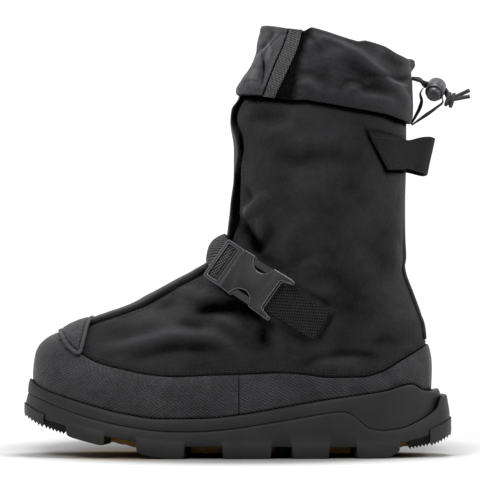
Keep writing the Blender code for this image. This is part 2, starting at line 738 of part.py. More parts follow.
def cuff_overlay(name, lift, thick, line, low, high, finish):
    """Piece that lies on the cuff, cut to a side line."""
    rows = [(level, float(CUFF_OUT(level)) + CUFF_THICK / 2 + lift) for level in CLOSURE_LEVELS]
    shell = wall_shell(name, rows, finish, thick, 1)
    return cut(shell, prism(name + "_cutter", line, "y", low, high), "INTERSECT")


def build_closure():
    """Front tab that wraps the collar, its hook strip and the loop patch under its end."""
    lift = TAB_THICK + 2 * GAP
    cuff_overlay("closure_tab", GAP, TAB_THICK, TAB_LINE, -60, 60, "nylon")
    cuff_overlay("hook_strip", lift, STRIP_THICK, HOOK_LINE, -60, 0, "webbing")
    cuff_overlay("loop_patch", GAP, STRIP_THICK, PATCH_OF_LOOPS, -60, 0, "webbing")


def strap_line(start, end, width, drop):
    """Side corners of a length of webbing along the strap's slope."""
    middle = Vector((STRAP_MIDDLE.x, 0, STRAP_MIDDLE.z)) - ACROSS * drop
    corners = []
    for run, side in ((start, -1), (end, -1), (end, 1), (start, 1)):
        spot = middle + ALONG * run + ACROSS * (side * width / 2)
        corners.append(Spot(spot.x, spot.z))
    return corners


def strap_edge(turns, across):
    """Route on the wall at a distance across the strap's slope, found by halving the level."""
    low, high = np.full(turns.shape, 40.0), np.full(turns.shape, 230.0)
    for _ in range(30):
        level = (low + high) / 2
        spots = wall_point(turns, level)
        reach = (spots[:, 0] - STRAP_MIDDLE.x) * ACROSS.x + (spots[:, 2] - STRAP_MIDDLE.z) * ACROSS.z
        high = np.where(reach > across, level, high)
        low = np.where(reach > across, low, level)
    return wall(turns, (low + high) / 2, np.full(turns.shape, GUSSET_THICK + 2 * GAP))


def near_turn():
    """Turn where the strap's middle line reaches the buckle."""
    turns = np.linspace(0.0, 0.25, 251)
    return float(np.interp(-STRAP_NEAR_Y, -strap_edge(turns, np.zeros(251))[:, 1], turns))


def build_straps():
    """Flat webbing that spans the crook of the instep, and the short anchor behind the buckle."""
    end = near_turn()
    turns = np.linspace(STRAP_FAR_TURN, end, STRAP_POINTS)
    rise = STRAP_RISE * np.clip(1 - turns / end, 0, 1)
    low = strap_edge(turns, rise - WEBBING / 2)
    high = strap_edge(turns, rise + WEBBING / 2)
    steps = np.gradient((low + high) / 2, axis=0)
    normals = np.cross(steps, high - low)
    normals = normals / np.linalg.norm(normals, axis=1, keepdims=True)
    ribbon("instep_strap", low, high, normals, STRAP_THICK, "webbing")
    levels = [level for level in WALL_LEVELS if 72 <= level <= 193]
    shell = wall_shell("strap_anchor", [(level, GAP) for level in levels], "webbing", STRAP_THICK, 1)
    line = strap_line(ANCHOR_START, ANCHOR_END, WEBBING, ANCHOR_DROP)
    cut(shell, prism("anchor_cutter", line, "y", -80, 0), "INTERSECT")


def buckle_frame():
    """Place of the buckle on the outer side of the instep."""
    along = Vector((math.cos(BUCKLE_YAW) * ALONG.x, -math.sin(BUCKLE_YAW), ALONG.z)).normalized()
    outward = Vector((-math.sin(BUCKLE_YAW) * 0.6, -1, 0.25))
    outward = (outward - along * outward.dot(along)).normalized()
    across = outward.cross(along)
    turn = Matrix((along, across, outward)).transposed().to_4x4()
    base = BUCKLE_MIDDLE + outward * (wall_reach(along, across, outward) + BUCKLE_CLEAR)
    return Matrix.Translation(base * MM) @ turn


def wall_reach(along, across, outward):
    """How far the wall stands out under the buckle, from the buckle's own middle."""
    turns, levels = np.meshgrid(np.linspace(0.0, 0.3, 61), np.linspace(100, 176, 61))
    spots = wall(turns, levels, np.zeros_like(turns)) - np.array(BUCKLE_MIDDLE)
    length = spots @ np.array(along)
    width = spots @ np.array(across)
    under = (np.abs(length) < BUCKLE_LENGTH / 2) & (np.abs(width) < BUCKLE_WIDTH / 2)
    return float((spots @ np.array(outward))[under].max())


def flat_outline(name, corners, low, high, finish=None):
    """Plate from a flat outline, drawn up between two heights."""
    plate = prism(name, corners, "z", low, high)
    if finish:
        CUTTERS.objects.unlink(plate)
        PARTS.objects.link(plate)
        plate.hide_render = False
        plate.display_type = "TEXTURED"
        plate.data.materials.append(MATERIALS[finish])
    return plate


def box_line(start, end, low, high):
    """Corners of a rectangle."""
    return [(start, low), (end, low), (end, high), (start, high)]


def scallop(middle, side, width, radius, count):
    """Points of a round bite out of a long side, in order along it."""
    points = []
    for k in range(count + 1):
        angle = math.pi * k / count
        points.append((middle - radius * math.cos(angle), side * (width - radius * math.sin(angle))))
    return points


def build_buckle():
    """Two hard halves of the fastened buckle; they stay fastened."""
    frame = buckle_frame()
    half = BUCKLE_WIDTH / 2
    start = -BUCKLE_LENGTH / 2
    joint = start + LATCH_LENGTH
    end = joint + SOCKET_LENGTH
    bite = joint + 19
    lower = scallop(bite, -1, half, SCALLOP_RADIUS, 8)
    upper = scallop(bite, 1, half, SCALLOP_RADIUS, 8)[::-1]
    body = [(joint + GAP, -half)] + lower + [(end, -half), (end, -half + 4.5)]
    body += [(end - 8, -half + 5.5), (end - 8, half - 5.5), (end, half - 4.5), (end, half)]
    body += upper + [(joint + GAP, half)]
    socket = flat_outline("buckle_socket", body, 0, BUCKLE_HEIGHT, "plastic")
    mouth = (BUCKLE_HEIGHT - PRONG_HEIGHT) / 2
    room = flat_outline(
        "socket_cutter",
        box_line(joint - 3, joint + PRONG_LENGTH + 5, -half - 2, -CORE_WIDTH / 2),
        mouth - GAP,
        mouth + PRONG_HEIGHT + GAP,
    )
    other_room = flat_outline(
        "socket_cutter_far",
        box_line(joint - 3, joint + PRONG_LENGTH + 5, CORE_WIDTH / 2, half + 2),
        mouth - GAP,
        mouth + PRONG_HEIGHT + GAP,
    )
    cut(socket, room, "DIFFERENCE")
    cut(socket, other_room, "DIFFERENCE")
    outside = box_line(start, joint, -half + 0.6, half - 0.6)
    latch = flat_outline("buckle_latch", outside, 0.6, BUCKLE_HEIGHT - 0.6, "plastic")
    slot = flat_outline(
        "latch_cutter", box_line(start + 4, start + 9, -half + 4, half - 4), -3, BUCKLE_HEIGHT + 3
    )
    cut(latch, slot, "DIFFERENCE")
    pieces = [socket, latch, room, other_room, slot]
    for side in (-1, 1):
        near = side * (CORE_WIDTH / 2 + GAP)
        far = near + side * PRONG_WIDTH
        line = box_line(joint - 2, joint + PRONG_LENGTH, min(near, far), max(near, far))
        name = "prong_low" if side < 0 else "prong_high"
        arm = flat_outline(name, line, mouth, mouth + PRONG_HEIGHT)
        cut(latch, arm, "UNION")
        pieces.append(arm)
    for piece in pieces:
        piece.matrix_world = frame


def ribbon(name, low, high, normals, thick, finish):
    """Flat webbing between two edge routes, thickened along its normals."""
    points = []
    for under, over, normal in zip(low, high, normals):
        points += [under, under + normal * thick, over + normal * thick, over]
    count = len(low)
    faces = ring_faces(0, count, 4)
    last = 4 * (count - 1)
    faces += [(3, 2, 1, 0), (last, last + 1, last + 2, last + 3)]
    made = add_mesh(name, points, faces, finish)
    face_outward(made)
    return made


def smooth_route(spots, count):
    """Points spaced along a smooth curve through a few spots."""
    spots = np.array(spots, float)
    lengths = np.concatenate([[0], np.cumsum(np.linalg.norm(np.diff(spots, axis=0), axis=1))])
    at = np.linspace(0, lengths[-1], count)
    return np.stack([smooth(lengths, spots[:, k])(at) for k in range(spots.shape[1])], axis=-1)


def loop_edge(edge):
    """Route of one edge of the pull loop, round the back of the shaft."""
    turns = np.linspace(0.25, 0.5, 181)
    near = wall(turns, np.full(181, edge.level), np.full(181, LOOP_CLEAR))
    stations = np.linspace(edge.start, LOOP_LEAVES, 5)
    side = [(x, np.interp(x, near[:, 0], near[:, 1])) for x in stations]
    rest = edge.reach - LOOP_THICK
    tail = [(rest - 9.5, -14.5), (rest - 2.5, -7.0), (rest, 0.0)]
    half_route = side + tail
    mirrored = [(x, -y) for x, y in half_route[-2::-1]]
    route = smooth_route(half_route + mirrored, LOOP_POINTS)
    height = np.full(LOOP_POINTS, edge.level)
    height -= edge.drop * (route[:, 0] - edge.start) / (edge.reach - edge.start)
    return np.column_stack([route, height])


def build_pull_loop():
    """Loop of webbing, sewn to both sides of the shaft and standing out behind it."""
    low, high = loop_edge(LOOP_LOW), loop_edge(LOOP_HIGH)
    steps = np.gradient((low + high) / 2, axis=0)
    normals = np.column_stack([steps[:, 1], -steps[:, 0], np.zeros(LOOP_POINTS)])
    normals = normals / np.linalg.norm(normals, axis=1, keepdims=True)
    return ribbon("pull_loop", low, high, normals, LOOP_THICK, "webbing")


def turned(axis, middle):
    """Frame with its z along an axis."""
    return Matrix.Translation(middle * MM) @ axis.to_track_quat("Z", "Y").to_matrix().to_4x4()


def cylinder(name, radius, low, high, frame, finish=None):
    """Round bar along a frame's z, between two heights."""
    mesh = bmesh.new()
    place = Matrix.Translation((0, 0, (low + high) / 2 * MM))
    bmesh.ops.create_cone(
        mesh, cap_ends=True, segments=16, radius1=radius * MM, radius2=radius * MM,
        depth=(high - low) * MM, matrix=place,
    )
    data = bpy.data.meshes.new(name)
    mesh.to_mesh(data)
    mesh.free()
    made = bpy.data.objects.new(name, data)
    made.matrix_world = frame
    if finish:
        PARTS.objects.link(made)
        data.materials.append(MATERIALS[finish])
        return made
    return hide_cutter(made)


def build_cord_lock():
    """Barrel with a bore, and the push button that slides in it."""
    frame = turned(LOCK_AXIS, LOCK_MIDDLE)
    half = LOCK_LENGTH / 2
    barrel = cylinder("cord_lock_barrel", LOCK_RADIUS, -half, half, frame, "plastic")
    soften = barrel.modifiers.new("soft edges", "BEVEL")
    soften.width = 1.4 * MM
    soften.segments = 2
    soften.limit_method = "ANGLE"
    floor = half + BUTTON_SHOWS - BUTTON_LENGTH - BUTTON_TRAVEL - 0.5
    bore = cylinder("lock_bore", LOCK_BORE, floor, half + 4, frame)
    cut(barrel, bore, "DIFFERENCE")
    button = cylinder(
        "cord_lock_button", BUTTON_RADIUS, half + BUTTON_SHOWS - BUTTON_LENGTH, half + BUTTON_SHOWS,
        frame, "plastic",
    )
    edge = button.modifiers.new("soft edges", "BEVEL")
    edge.width = 0.8 * MM
    edge.segments = 2
    edge.limit_method = "ANGLE"


def cord(name, spots, count):
    """Round cord along a smooth route."""
    data = bpy.data.curves.new(name, "CURVE")
    data.dimensions = "3D"
    data.bevel_depth = CORD / 2 * MM
    data.bevel_resolution = 2
    data.use_fill_caps = True
    line = data.splines.new("POLY")
    route = smooth_route(spots, count)
    line.points.add(len(route) - 1)
    for point, spot in zip(line.points, route):
        point.co = (*[value * MM for value in spot], 1)
    made = bpy.data.objects.new(name, data)
    PARTS.objects.link(made)
    data.materials.append(MATERIALS["cord"])
    return made


def ball(name, middle, stretch, finish):
    """Rounded lump."""
    mesh = bmesh.new()
    bmesh.ops.create_uvsphere(mesh, u_segments=12, v_segments=8, radius=MM)
    bmesh.ops.scale(mesh, vec=stretch, verts=mesh.verts)
    data = bpy.data.meshes.new(name)
    mesh.to_mesh(data)
    mesh.free()
    made = bpy.data.objects.new(name, data)
    made.location = middle * MM
    PARTS.objects.link(made)
    data.materials.append(MATERIALS[finish])
    return made


def build_drawcord():
    """Two strands from the cuff to the lock, the knot beyond it and the two tails."""
    way = (LOCK_MIDDLE - CORD_EXIT).normalized()
    near = LOCK_MIDDLE - way * (LOCK_RADIUS + 2 * GAP)
    for name, side in (("drawcord_near", -1), ("drawcord_far", 1)):
        shift = Vector((0, side * CORD_SPREAD, 0))
        bow = Vector((0, side * 1.0, 2.0))
        spots = [CORD_EXIT + shift, (CORD_EXIT + near) / 2 + shift + bow, near + shift]
        cord(name, [tuple(spot) for spot in spots], 8)
    ball("drawcord_knot", KNOT_MIDDLE, KNOT_SIZE, "cord")
    for name, side, rise in (("cord_tail_near", -1, 2.6), ("cord_tail_far", 1, 7.4)):
        first = KNOT_MIDDLE + Vector((4.2, side * 2.0, 0.6 if side < 0 else 2.4))
        last = Vector((TAIL_X, side * 2.4, KNOT_MIDDLE.z + rise))
        cord(name, [tuple(first), tuple((first + last) / 2), tuple(last)], 5)


def build_tether():
    """Thin ribbon that holds the cord lock to the cuff's lower edge."""
    route = smooth_route(TETHER_ROUTE, 9)
    steps = np.gradient(route, axis=0)
    steps = steps / np.linalg.norm(steps, axis=1, keepdims=True)
    normals = np.stack([steps[:, 2], np.zeros(len(steps)), -steps[:, 0]], axis=-1)
    half = np.array([0.0, TETHER_WIDTH / 2, 0.0])
    return ribbon("lock_tether", route - half, route + half, normals, TETHER_THICK, "webbing")


clear_scene()
PARTS = make_collection("winter_overboot")
CUTTERS = make_collection("cutters")
MATERIALS = {name: make_finish(name) for name in FINISHES}

build_outsole()
build_midsole()
build_insole()
build_grip_pads()
build_upper()
build_gusset()
build_rands()
build_toe_patch()
build_back_tape()
build_cuff()
build_closure()
build_straps()
build_buckle()
build_pull_loop()
build_cord_lock()
build_drawcord()
build_tether()
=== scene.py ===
"""Looks of the winter overboot: cloth, rubber, webbing, cords and studio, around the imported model.

Sizes are millimetres in the part's own frame and are turned into metres as each mesh is made.
The toe points to -X, the heel to +X, the outer side of the foot is -Y and the floor is z = 0.
"""

import json
import math
from collections import namedtuple

import bmesh
import bpy
import numpy as np
from mathutils import Matrix, Vector

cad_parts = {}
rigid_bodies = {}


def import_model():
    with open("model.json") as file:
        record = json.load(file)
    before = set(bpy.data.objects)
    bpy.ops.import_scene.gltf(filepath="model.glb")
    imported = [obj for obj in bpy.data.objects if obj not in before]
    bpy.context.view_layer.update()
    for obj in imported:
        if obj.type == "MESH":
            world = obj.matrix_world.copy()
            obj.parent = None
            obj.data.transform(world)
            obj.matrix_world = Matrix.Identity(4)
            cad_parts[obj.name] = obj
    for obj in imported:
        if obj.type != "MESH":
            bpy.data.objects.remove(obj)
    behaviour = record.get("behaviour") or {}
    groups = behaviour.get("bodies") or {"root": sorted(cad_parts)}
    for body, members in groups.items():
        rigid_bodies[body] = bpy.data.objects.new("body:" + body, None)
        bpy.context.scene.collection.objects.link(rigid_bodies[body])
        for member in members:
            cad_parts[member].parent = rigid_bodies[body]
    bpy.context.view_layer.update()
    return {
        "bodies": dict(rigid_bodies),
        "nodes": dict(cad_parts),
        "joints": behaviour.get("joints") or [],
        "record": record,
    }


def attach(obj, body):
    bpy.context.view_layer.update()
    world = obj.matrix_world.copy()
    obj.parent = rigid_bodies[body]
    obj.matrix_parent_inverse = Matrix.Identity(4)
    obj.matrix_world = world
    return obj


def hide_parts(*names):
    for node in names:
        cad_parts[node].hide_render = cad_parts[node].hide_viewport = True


# Driving sizes, the same as in the part
MM = 0.001
SOLE_LENGTH = 324.6
BALL_WIDTH = 117.0
HALF_SOLE = SOLE_LENGTH / 2
HALF_BALL = BALL_WIDTH / 2
GAP = 0.35
WALL = 2.0
WEBBING = 25.4

# The photograph: what a pixel covers, and the pixels of the part's origin
PIXEL = 0.76
PHOTO_SIZE = 480
ORIGIN_PIXEL = (237.5, 457.3)
CAMERA_AWAY = 3200.0
CAMERA_HEIGHT = 165.0
CAMERA_DROP = 1.5
SENSOR = 36.0

# The studio: soft boxes in metres and watts, the floor, and how bright the room is before and behind
Light = namedtuple("Light", "name place aim size power")
LIGHTS = [
    Light("key", (-0.75, -1.7, 1.5), (0, 0, 0.15), 0.7, 30),
    Light("top", (0.2, 0.0, 1.7), (0, 0, 0.1), 0.8, 14),
    Light("side", (1.5, -0.7, 1.1), (0.05, 0, 0.15), 0.7, 14),
]
FLOOR_RADIUS = 550.0
FLOOR_TONE = 0.74
FRONT_GLOW = 0.05
BACK_GLOW = 1.1
GLOW_FROM = -0.5
GLOW_TO = 0.15

# Painted ovals on the floor: a painted shadow under the sole, a painted cast shadow behind the boot, and a
# painted amber glow under the forefoot
# Each has a middle, a reach, and its colours at shares of twice the reach
FloorPatch = namedtuple("FloorPatch", "middle reach stops")
PAINTED_FLOOR_PATCHES = [
    FloorPatch((36.0, 8.0), (100.0, 52.0), [
        (0.42, (0.02, 0.014, 0.006)), (0.50, (0.50, 0.44, 0.34)),
        (0.66, (FLOOR_TONE, FLOOR_TONE, FLOOR_TONE)),
    ]),
    FloorPatch((0.0, 105.0), (176.0, 250.0), [
        (0.2, (0.20, 0.20, 0.20)), (0.34, (0.28, 0.28, 0.28)), (0.42, (0.42, 0.42, 0.42)),
        (0.48, (0.72, 0.72, 0.72)), (0.58, (1.0, 1.0, 1.0)),
    ]),
    FloorPatch((-84.0, 16.0), (62.0, 120.0), [
        (0.0, (1.0, 0.64, 0.28)), (0.22, (1.0, 0.82, 0.62)), (0.5, (1.0, 1.0, 1.0)),
    ]),
]

# Sole sizes
CUP_DEPTH = 6.0
CUP_CLEAR = 0.7
INSOLE_THICK = 3.0
INSOLE_CLEAR = 1.2
LUG_STEP = 1.2
LUG_RISE = 4.0
LUG_TAPER = 1.2
LUG_ROUND = 0.9
LUG_SECTIONS = 13
LUG_END_RISE = 0.9
LUG_END_SPAN = 2.2
FEATHER_LOW = 29.8
HEEL_DIP = 3.6
TOOTH = 2.6
TOOTH_DEPTH = 2.0
END_INSET = 0.15

# Overlay sizes
RAND_THICK = 1.2
PATCH_THICK = 1.3
TAPE_THICK = 1.2
TAPE_HALF = 14.0
CUFF_THICK = 1.4
TAB_THICK = 1.5
STRIP_THICK = 0.8
STRAP_THICK = 1.5
RAND_SEAM_X = 1.0
RAND_LOW = 25.6
CUFF_LOW = 266.0
CUFF_TOP = 317.5
TAB_LOW = 266.6
TAB_TOP = 318.8
HOOK_LOW = 265.4
LOOP_TOP = 311.5
UPPER_LOW = 24.3
UPPER_TOP = 315.5
TAPE_LOW = 86.0
TAPE_LENGTH = 112.0
PATCH_LEVELS = (40.0, 112.0)
PATCH_GROOVE = 3.6
GUSSET_LOW = 95.0
GUSSET_TOP = 275.0
PANELS_BACK = 40.0

# Levels between which the collar's wave sets in, and how far the hem's wave reaches up and down
COLLAR_ZONE = (286, 316)
HEM_SPAN = 14.0

# Where cloth fades to flat: beside the strap, along its anchor, and round the pull loop's sewn part
STRAP_PRESS = (11, 17)
ANCHOR_BEND = (10, 30)
LOOP_PRESS_FRONT = (92, 100)
LOOP_PRESS_LOW = (208, 214)
LOOP_PRESS_HIGH = (248, 254)

# Left and right curve of the last
TOE_SWING = 8.0
SWING_START = -20.0
WAIST_X = 45.0
WAIST_SPAN = 55.0
OUTER_PINCH = 0.6
INNER_PINCH = 1.5
TILT_X = 65.0

# Mesh counts
SIDE_COLUMNS = 168
VALLEY_COLUMNS = 10
WALL_ROWS = 180
SOLE_RING = 240
CUFF_COLUMNS = 340
CUFF_ROWS = 62
GUSSET_ROWS = 150
GUSSET_COLUMNS = 61
LOOP_STEPS = 160
STRAND_STEPS = 34
TETHER_STEPS = 70
KNOT_STEPS = 28
KNOT_SIDES = 10
HALVINGS = 26
FOLD_STEPS = 12

# Heights along the sole: under the lugs, the web between them, and the groove below the midsole
Profile = namedtuple("Profile", "x lug web groove")
SOLE_PROFILE = [
    Profile(-163, 31.0, 36.5, 48.6),
    Profile(-150, 24.0, 30.0, 44.2),
    Profile(-134, 17.8, 25.8, 37.9),
    Profile(-112, 12.2, 19.5, 30.7),
    Profile(-85, 6.4, 14.2, 24.5),
    Profile(-58, 0.6, 10.4, 20.8),
    Profile(-50, 0.0, 9.5, 20.3),
    Profile(-34, 0.0, 9.0, 20.1),
    Profile(-9, 0.0, 9.0, 21.7),
    Profile(22, 0.0, 8.8, 26.2),
    Profile(50, 0.0, 8.6, 30.9),
    Profile(72, 0.0, 8.4, 34.4),
    Profile(79, 0.0, 8.4, 35.0),
    Profile(86, 0.0, 8.4, 32.6),
    Profile(92, 0.0, 8.5, 27.4),
    Profile(98, 0.0, 8.7, 22.7),
    Profile(108, 0.0, 9.2, 20.7),
    Profile(113, 0.5, 9.8, 21.0),
    Profile(122, 4.2, 11.4, 22.1),
    Profile(137, 7.0, 15.0, 28.0),
    Profile(147, 9.2, 18.0, 34.0),
    Profile(150.6, 10.5, 19.4, 37.8),
    Profile(154, 12.0, 20.9, 46.4),
    Profile(158, 14.0, 23.0, 46.6),
    Profile(163, 17.0, 26.0, 43.0),
]

# The line where the upper meets the sole: the midsole's rim and the upper's seat
Feather = namedtuple("Feather", "x rim seat")
FEATHER_LINE = [
    Feather(-158, 59.0, 56.2),
    Feather(-152, 53.8, 53.8),
    Feather(-128.5, 45.1, 45.1),
    Feather(-111.8, 40.1, 40.1),
    Feather(-85, 33.4, 33.4),
    Feather(-58, FEATHER_LOW, FEATHER_LOW),
    Feather(-24, 30.1, 30.1),
    Feather(3, 32.9, 32.9),
    Feather(38.5, 39.0, 39.0),
    Feather(66, 43.7, 43.7),
    Feather(87, 46.6, 46.6),
    Feather(111, 50.1, 50.1),
    Feather(131, 55.0, 53.3),
    Feather(141, 49.8, 54.0),
    Feather(152, 54.6, 54.6),
]

# One row for each section of the upper, from the sole to the collar
Section = namedtuple("Section", "level follow tilt front back half widest nose heel waist")
UPPER_SECTIONS = [
    Section(24.1, 1.00, 0.0, -154.0, 145.5, 52.5, -52, 2.45, 3.00, 0.10),
    Section(29.8, 1.00, 0.0, -154.0, 145.5, 52.5, -52, 2.45, 3.00, 0.10),
    Section(42.0, 0.78, 0.0, -154.0, 145.5, 53.5, -50, 2.45, 3.00, 0.09),
    Section(54.0, 0.55, 0.0, -153.5, 145.5, 53.5, -45, 2.45, 3.00, 0.07),
    Section(64.0, 0.38, 0.0, -152.8, 145.3, 52.6, -38, 2.40, 2.95, 0.05),
    Section(72.0, 0.25, 0.0, -151.8, 144.6, 51.6, -28, 2.35, 2.90, 0.03),
    Section(79.0, 0.17, 0.0, -149.4, 143.4, 50.6, -17, 2.30, 2.85, 0.02),
    Section(86.0, 0.10, 0.0, -144.0, 142.5, 49.8, -5, 2.25, 2.80, 0.01),
    Section(93.0, 0.05, 0.0, -132.5, 141.9, 49.2, 8, 2.18, 2.75, 0.0),
    Section(100.0, 0.02, 0.0, -118.5, 140.8, 48.8, 18, 2.12, 2.70, 0.0),
    Section(107.0, 0.0, 0.0, -98.0, 138.6, 48.5, 27, 2.08, 2.62, 0.0),
    Section(113.5, 0.0, 0.0, -80.0, 136.4, 47.6, 34, 2.02, 2.55, 0.0),
    Section(119.5, 0.0, 0.0, -68.9, 134.1, 47.0, 40, 2.00, 2.50, 0.0),
    Section(125.6, 0.0, 0.0, -57.2, 131.8, 46.6, 45, 1.96, 2.46, 0.0),
    Section(131.7, 0.0, 0.0, -46.3, 129.4, 46.4, 49, 1.92, 2.42, 0.0),
    Section(137.8, 0.0, 0.0, -34.8, 127.3, 46.4, 52, 1.92, 2.40, 0.0),
    Section(144.0, 0.0, 0.0, -24.4, 126.3, 46.6, 55, 1.94, 2.38, 0.0),
    Section(150.0, 0.0, 0.0, -16.4, 127.4, 47.0, 57, 1.98, 2.36, 0.0),
    Section(156.0, 0.0, 0.0, -10.9, 127.6, 47.6, 59, 2.04, 2.34, 0.0),
    Section(164.0, 0.0, 0.0, -6.7, 127.6, 48.6, 60, 2.12, 2.32, 0.0),
    Section(176.0, 0.0, 0.0, -4.8, 127.6, 50.2, 61, 2.24, 2.30, 0.0),
    Section(193.0, 0.0, 0.0, -3.0, 127.6, 52.0, 61, 2.34, 2.30, 0.0),
    Section(211.0, 0.0, 0.0, -0.8, 128.0, 53.0, 62, 2.35, 2.30, 0.0),
    Section(229.0, 0.0, -0.05, -0.6, 128.2, 53.0, 62, 2.35, 2.30, 0.0),
    Section(247.0, 0.0, -0.11, -3.3, 128.4, 53.0, 63, 2.35, 2.30, 0.0),
    Section(CUFF_LOW, 0.0, -0.176, 0.4, 128.4, 52.5, 64, 2.32, 2.30, 0.0),
    Section(285.0, 0.0, -0.19, 13.0, 128.4, 51.5, 68, 2.30, 2.30, 0.0),
    Section(302.0, 0.0, -0.215, 20.8, 128.6, 50.0, 72, 2.30, 2.30, 0.0),
    Section(UPPER_TOP, 0.0, -0.235, 25.0, 128.6, 48.0, 75, 2.30, 2.30, 0.0),
    Section(330.0, 0.0, -0.235, 27.0, 128.6, 47.0, 76, 2.30, 2.30, 0.0),
]

# Outlines of the sole, from the tread up to the rim
TREAD_OUTLINE = Section(0, 0, 0, -HALF_SOLE, HALF_SOLE, HALF_BALL, -50, 2.42, 3.1, 0.13)
WEB_OUTLINE = TREAD_OUTLINE._replace(
    front=-HALF_SOLE + LUG_STEP, back=HALF_SOLE - LUG_STEP, half=HALF_BALL - LUG_STEP
)
GROOVE_OUTLINE = TREAD_OUTLINE._replace(front=-159.8, back=159.2, half=HALF_BALL - 2.2)
SWELL_OUTLINE = TREAD_OUTLINE._replace(front=-161.0, back=161.0, half=HALF_BALL - 1.2)
BAND_OUTLINE = TREAD_OUTLINE._replace(front=-159.4, back=153.6, half=HALF_BALL - 2.4)
RIM_OUTLINE = TREAD_OUTLINE._replace(front=-158.0, back=153.0, half=HALF_BALL - 3.0)

# Lugs and grip pads by their stations along the sole
Lug = namedtuple("Lug", "start end depth slant")
EDGE_LUGS = [
    Lug(-129.7, -99.0, 30, 5),
    Lug(-76.7, -39.3, 33, 5),
    Lug(-12.0, 26.2, 28, 0),
    Lug(40.3, 69.7, 27, -4),
    Lug(88.8, 122.8, 25, -4),
]
MiddleLug = namedtuple("MiddleLug", "start end half toothed")
MIDDLE_LUGS = [
    MiddleLug(-145.6, -130.1, 28, True), MiddleLug(29, 38, 17, False), MiddleLug(129, 144.6, 24, True),
]
TOE_LUG_END = -146.0
HEEL_LUG_START = 145.0
GripPad = namedtuple("GripPad", "node start end half floor")
GRIP_PADS = [
    GripPad("grip_pad_forefoot", -96, 28.9, 19, 2.2),
    GripPad("grip_pad_heel", 38.6, 128.4, 17, 2.2),
]

# Lines of the overlays as they show from the outer side
Spot = namedtuple("Spot", "x z")
RAND_TOP = [
    Spot(-160, 106), Spot(-140, 97), Spot(-128, 86), Spot(-120, 80), Spot(-114.7, 76), Spot(-104.5, 71),
    Spot(-87.5, 66.6), Spot(-67, 62.6), Spot(-47, 61), Spot(-18, 62.2), Spot(2, 62.8),
    Spot(31, 63.9), Spot(48, 62.8), Spot(69, 60.4), Spot(93, 60.6), Spot(107, 63.9),
    Spot(124, 73.3), Spot(136, 80.3), Spot(152, 90),
]
PATCH_LOW = [
    Spot(-141, 101), Spot(-137.4, 96), Spot(-135.3, 92.5), Spot(-129.5, 83.9), Spot(-124.6, 79),
    Spot(-120.5, 76.7), Spot(-118.2, 76.6), Spot(-116.2, 78.4), Spot(-115, 82),
]
PATCH_REAR = [
    Spot(-117.4, 75), Spot(-115.6, 79.8), Spot(-113, 90.5), Spot(-111.4, 97.9), Spot(-108.4, 104.5),
    Spot(-106, 112),
]

# Edges of the front panels: half widths on the outer and inner side, and how deep the throat lies
PanelEdge = namedtuple("PanelEdge", "level outer inner depth")
PANEL_EDGES = [
    PanelEdge(80, 20, 20, 0), PanelEdge(93, 21, 21, 0), PanelEdge(100, 21.5, 21, 4.0),
    PanelEdge(107, 22, 22, 5.5), PanelEdge(113.5, 21, 22, 5.5), PanelEdge(126, 20, 20.5, 5.5),
    PanelEdge(140, 20.5, 20, 5.0), PanelEdge(150, 17, 18, 4.5), PanelEdge(158, 16, 17, 4.5),
    PanelEdge(167, 19, 19, 5.5), PanelEdge(180, 25, 23, 6.5), PanelEdge(190, 26, 24, 6.5),
    PanelEdge(205, 23.5, 25, 6.0), PanelEdge(217, 23, 26, 6.0), PanelEdge(230, 27, 24, 6.0),
    PanelEdge(237, 27, 23, 6.0), PanelEdge(249, 21, 22, 6.0), PanelEdge(258, 24, 23, 6.0),
    PanelEdge(CUFF_LOW, 28, 26, 6.0), PanelEdge(285, 26, 26, 3.0), PanelEdge(330, 24, 24, 0),
]

# The gusset's ridge: how far it reaches to each side of the front, and how proud it stands
Ridge = namedtuple("Ridge", "level outer inner out")
GUSSET_RIDGE = [
    Ridge(94, 15, 15, 1.4), Ridge(104, 15, 15, 2.2), Ridge(113.5, 15.5, 14, 2.3), Ridge(126, 13, 14, 2.3),
    Ridge(140, 12, 13, 2.0), Ridge(152, 11, 12, 1.6), Ridge(164, 10, 12, 2.0), Ridge(180, 11, 13, 2.3),
    Ridge(196, 10, 14, 2.3), Ridge(210, 11, 15, 2.3), Ridge(226, 21, 14, 2.3), Ridge(236, 20, 13, 2.3),
    Ridge(248, 10, 14, 2.3), Ridge(258, 10, 16, 2.3), Ridge(268, 14, 18, 2.3), Ridge(276, 14, 18, 2.2),
]
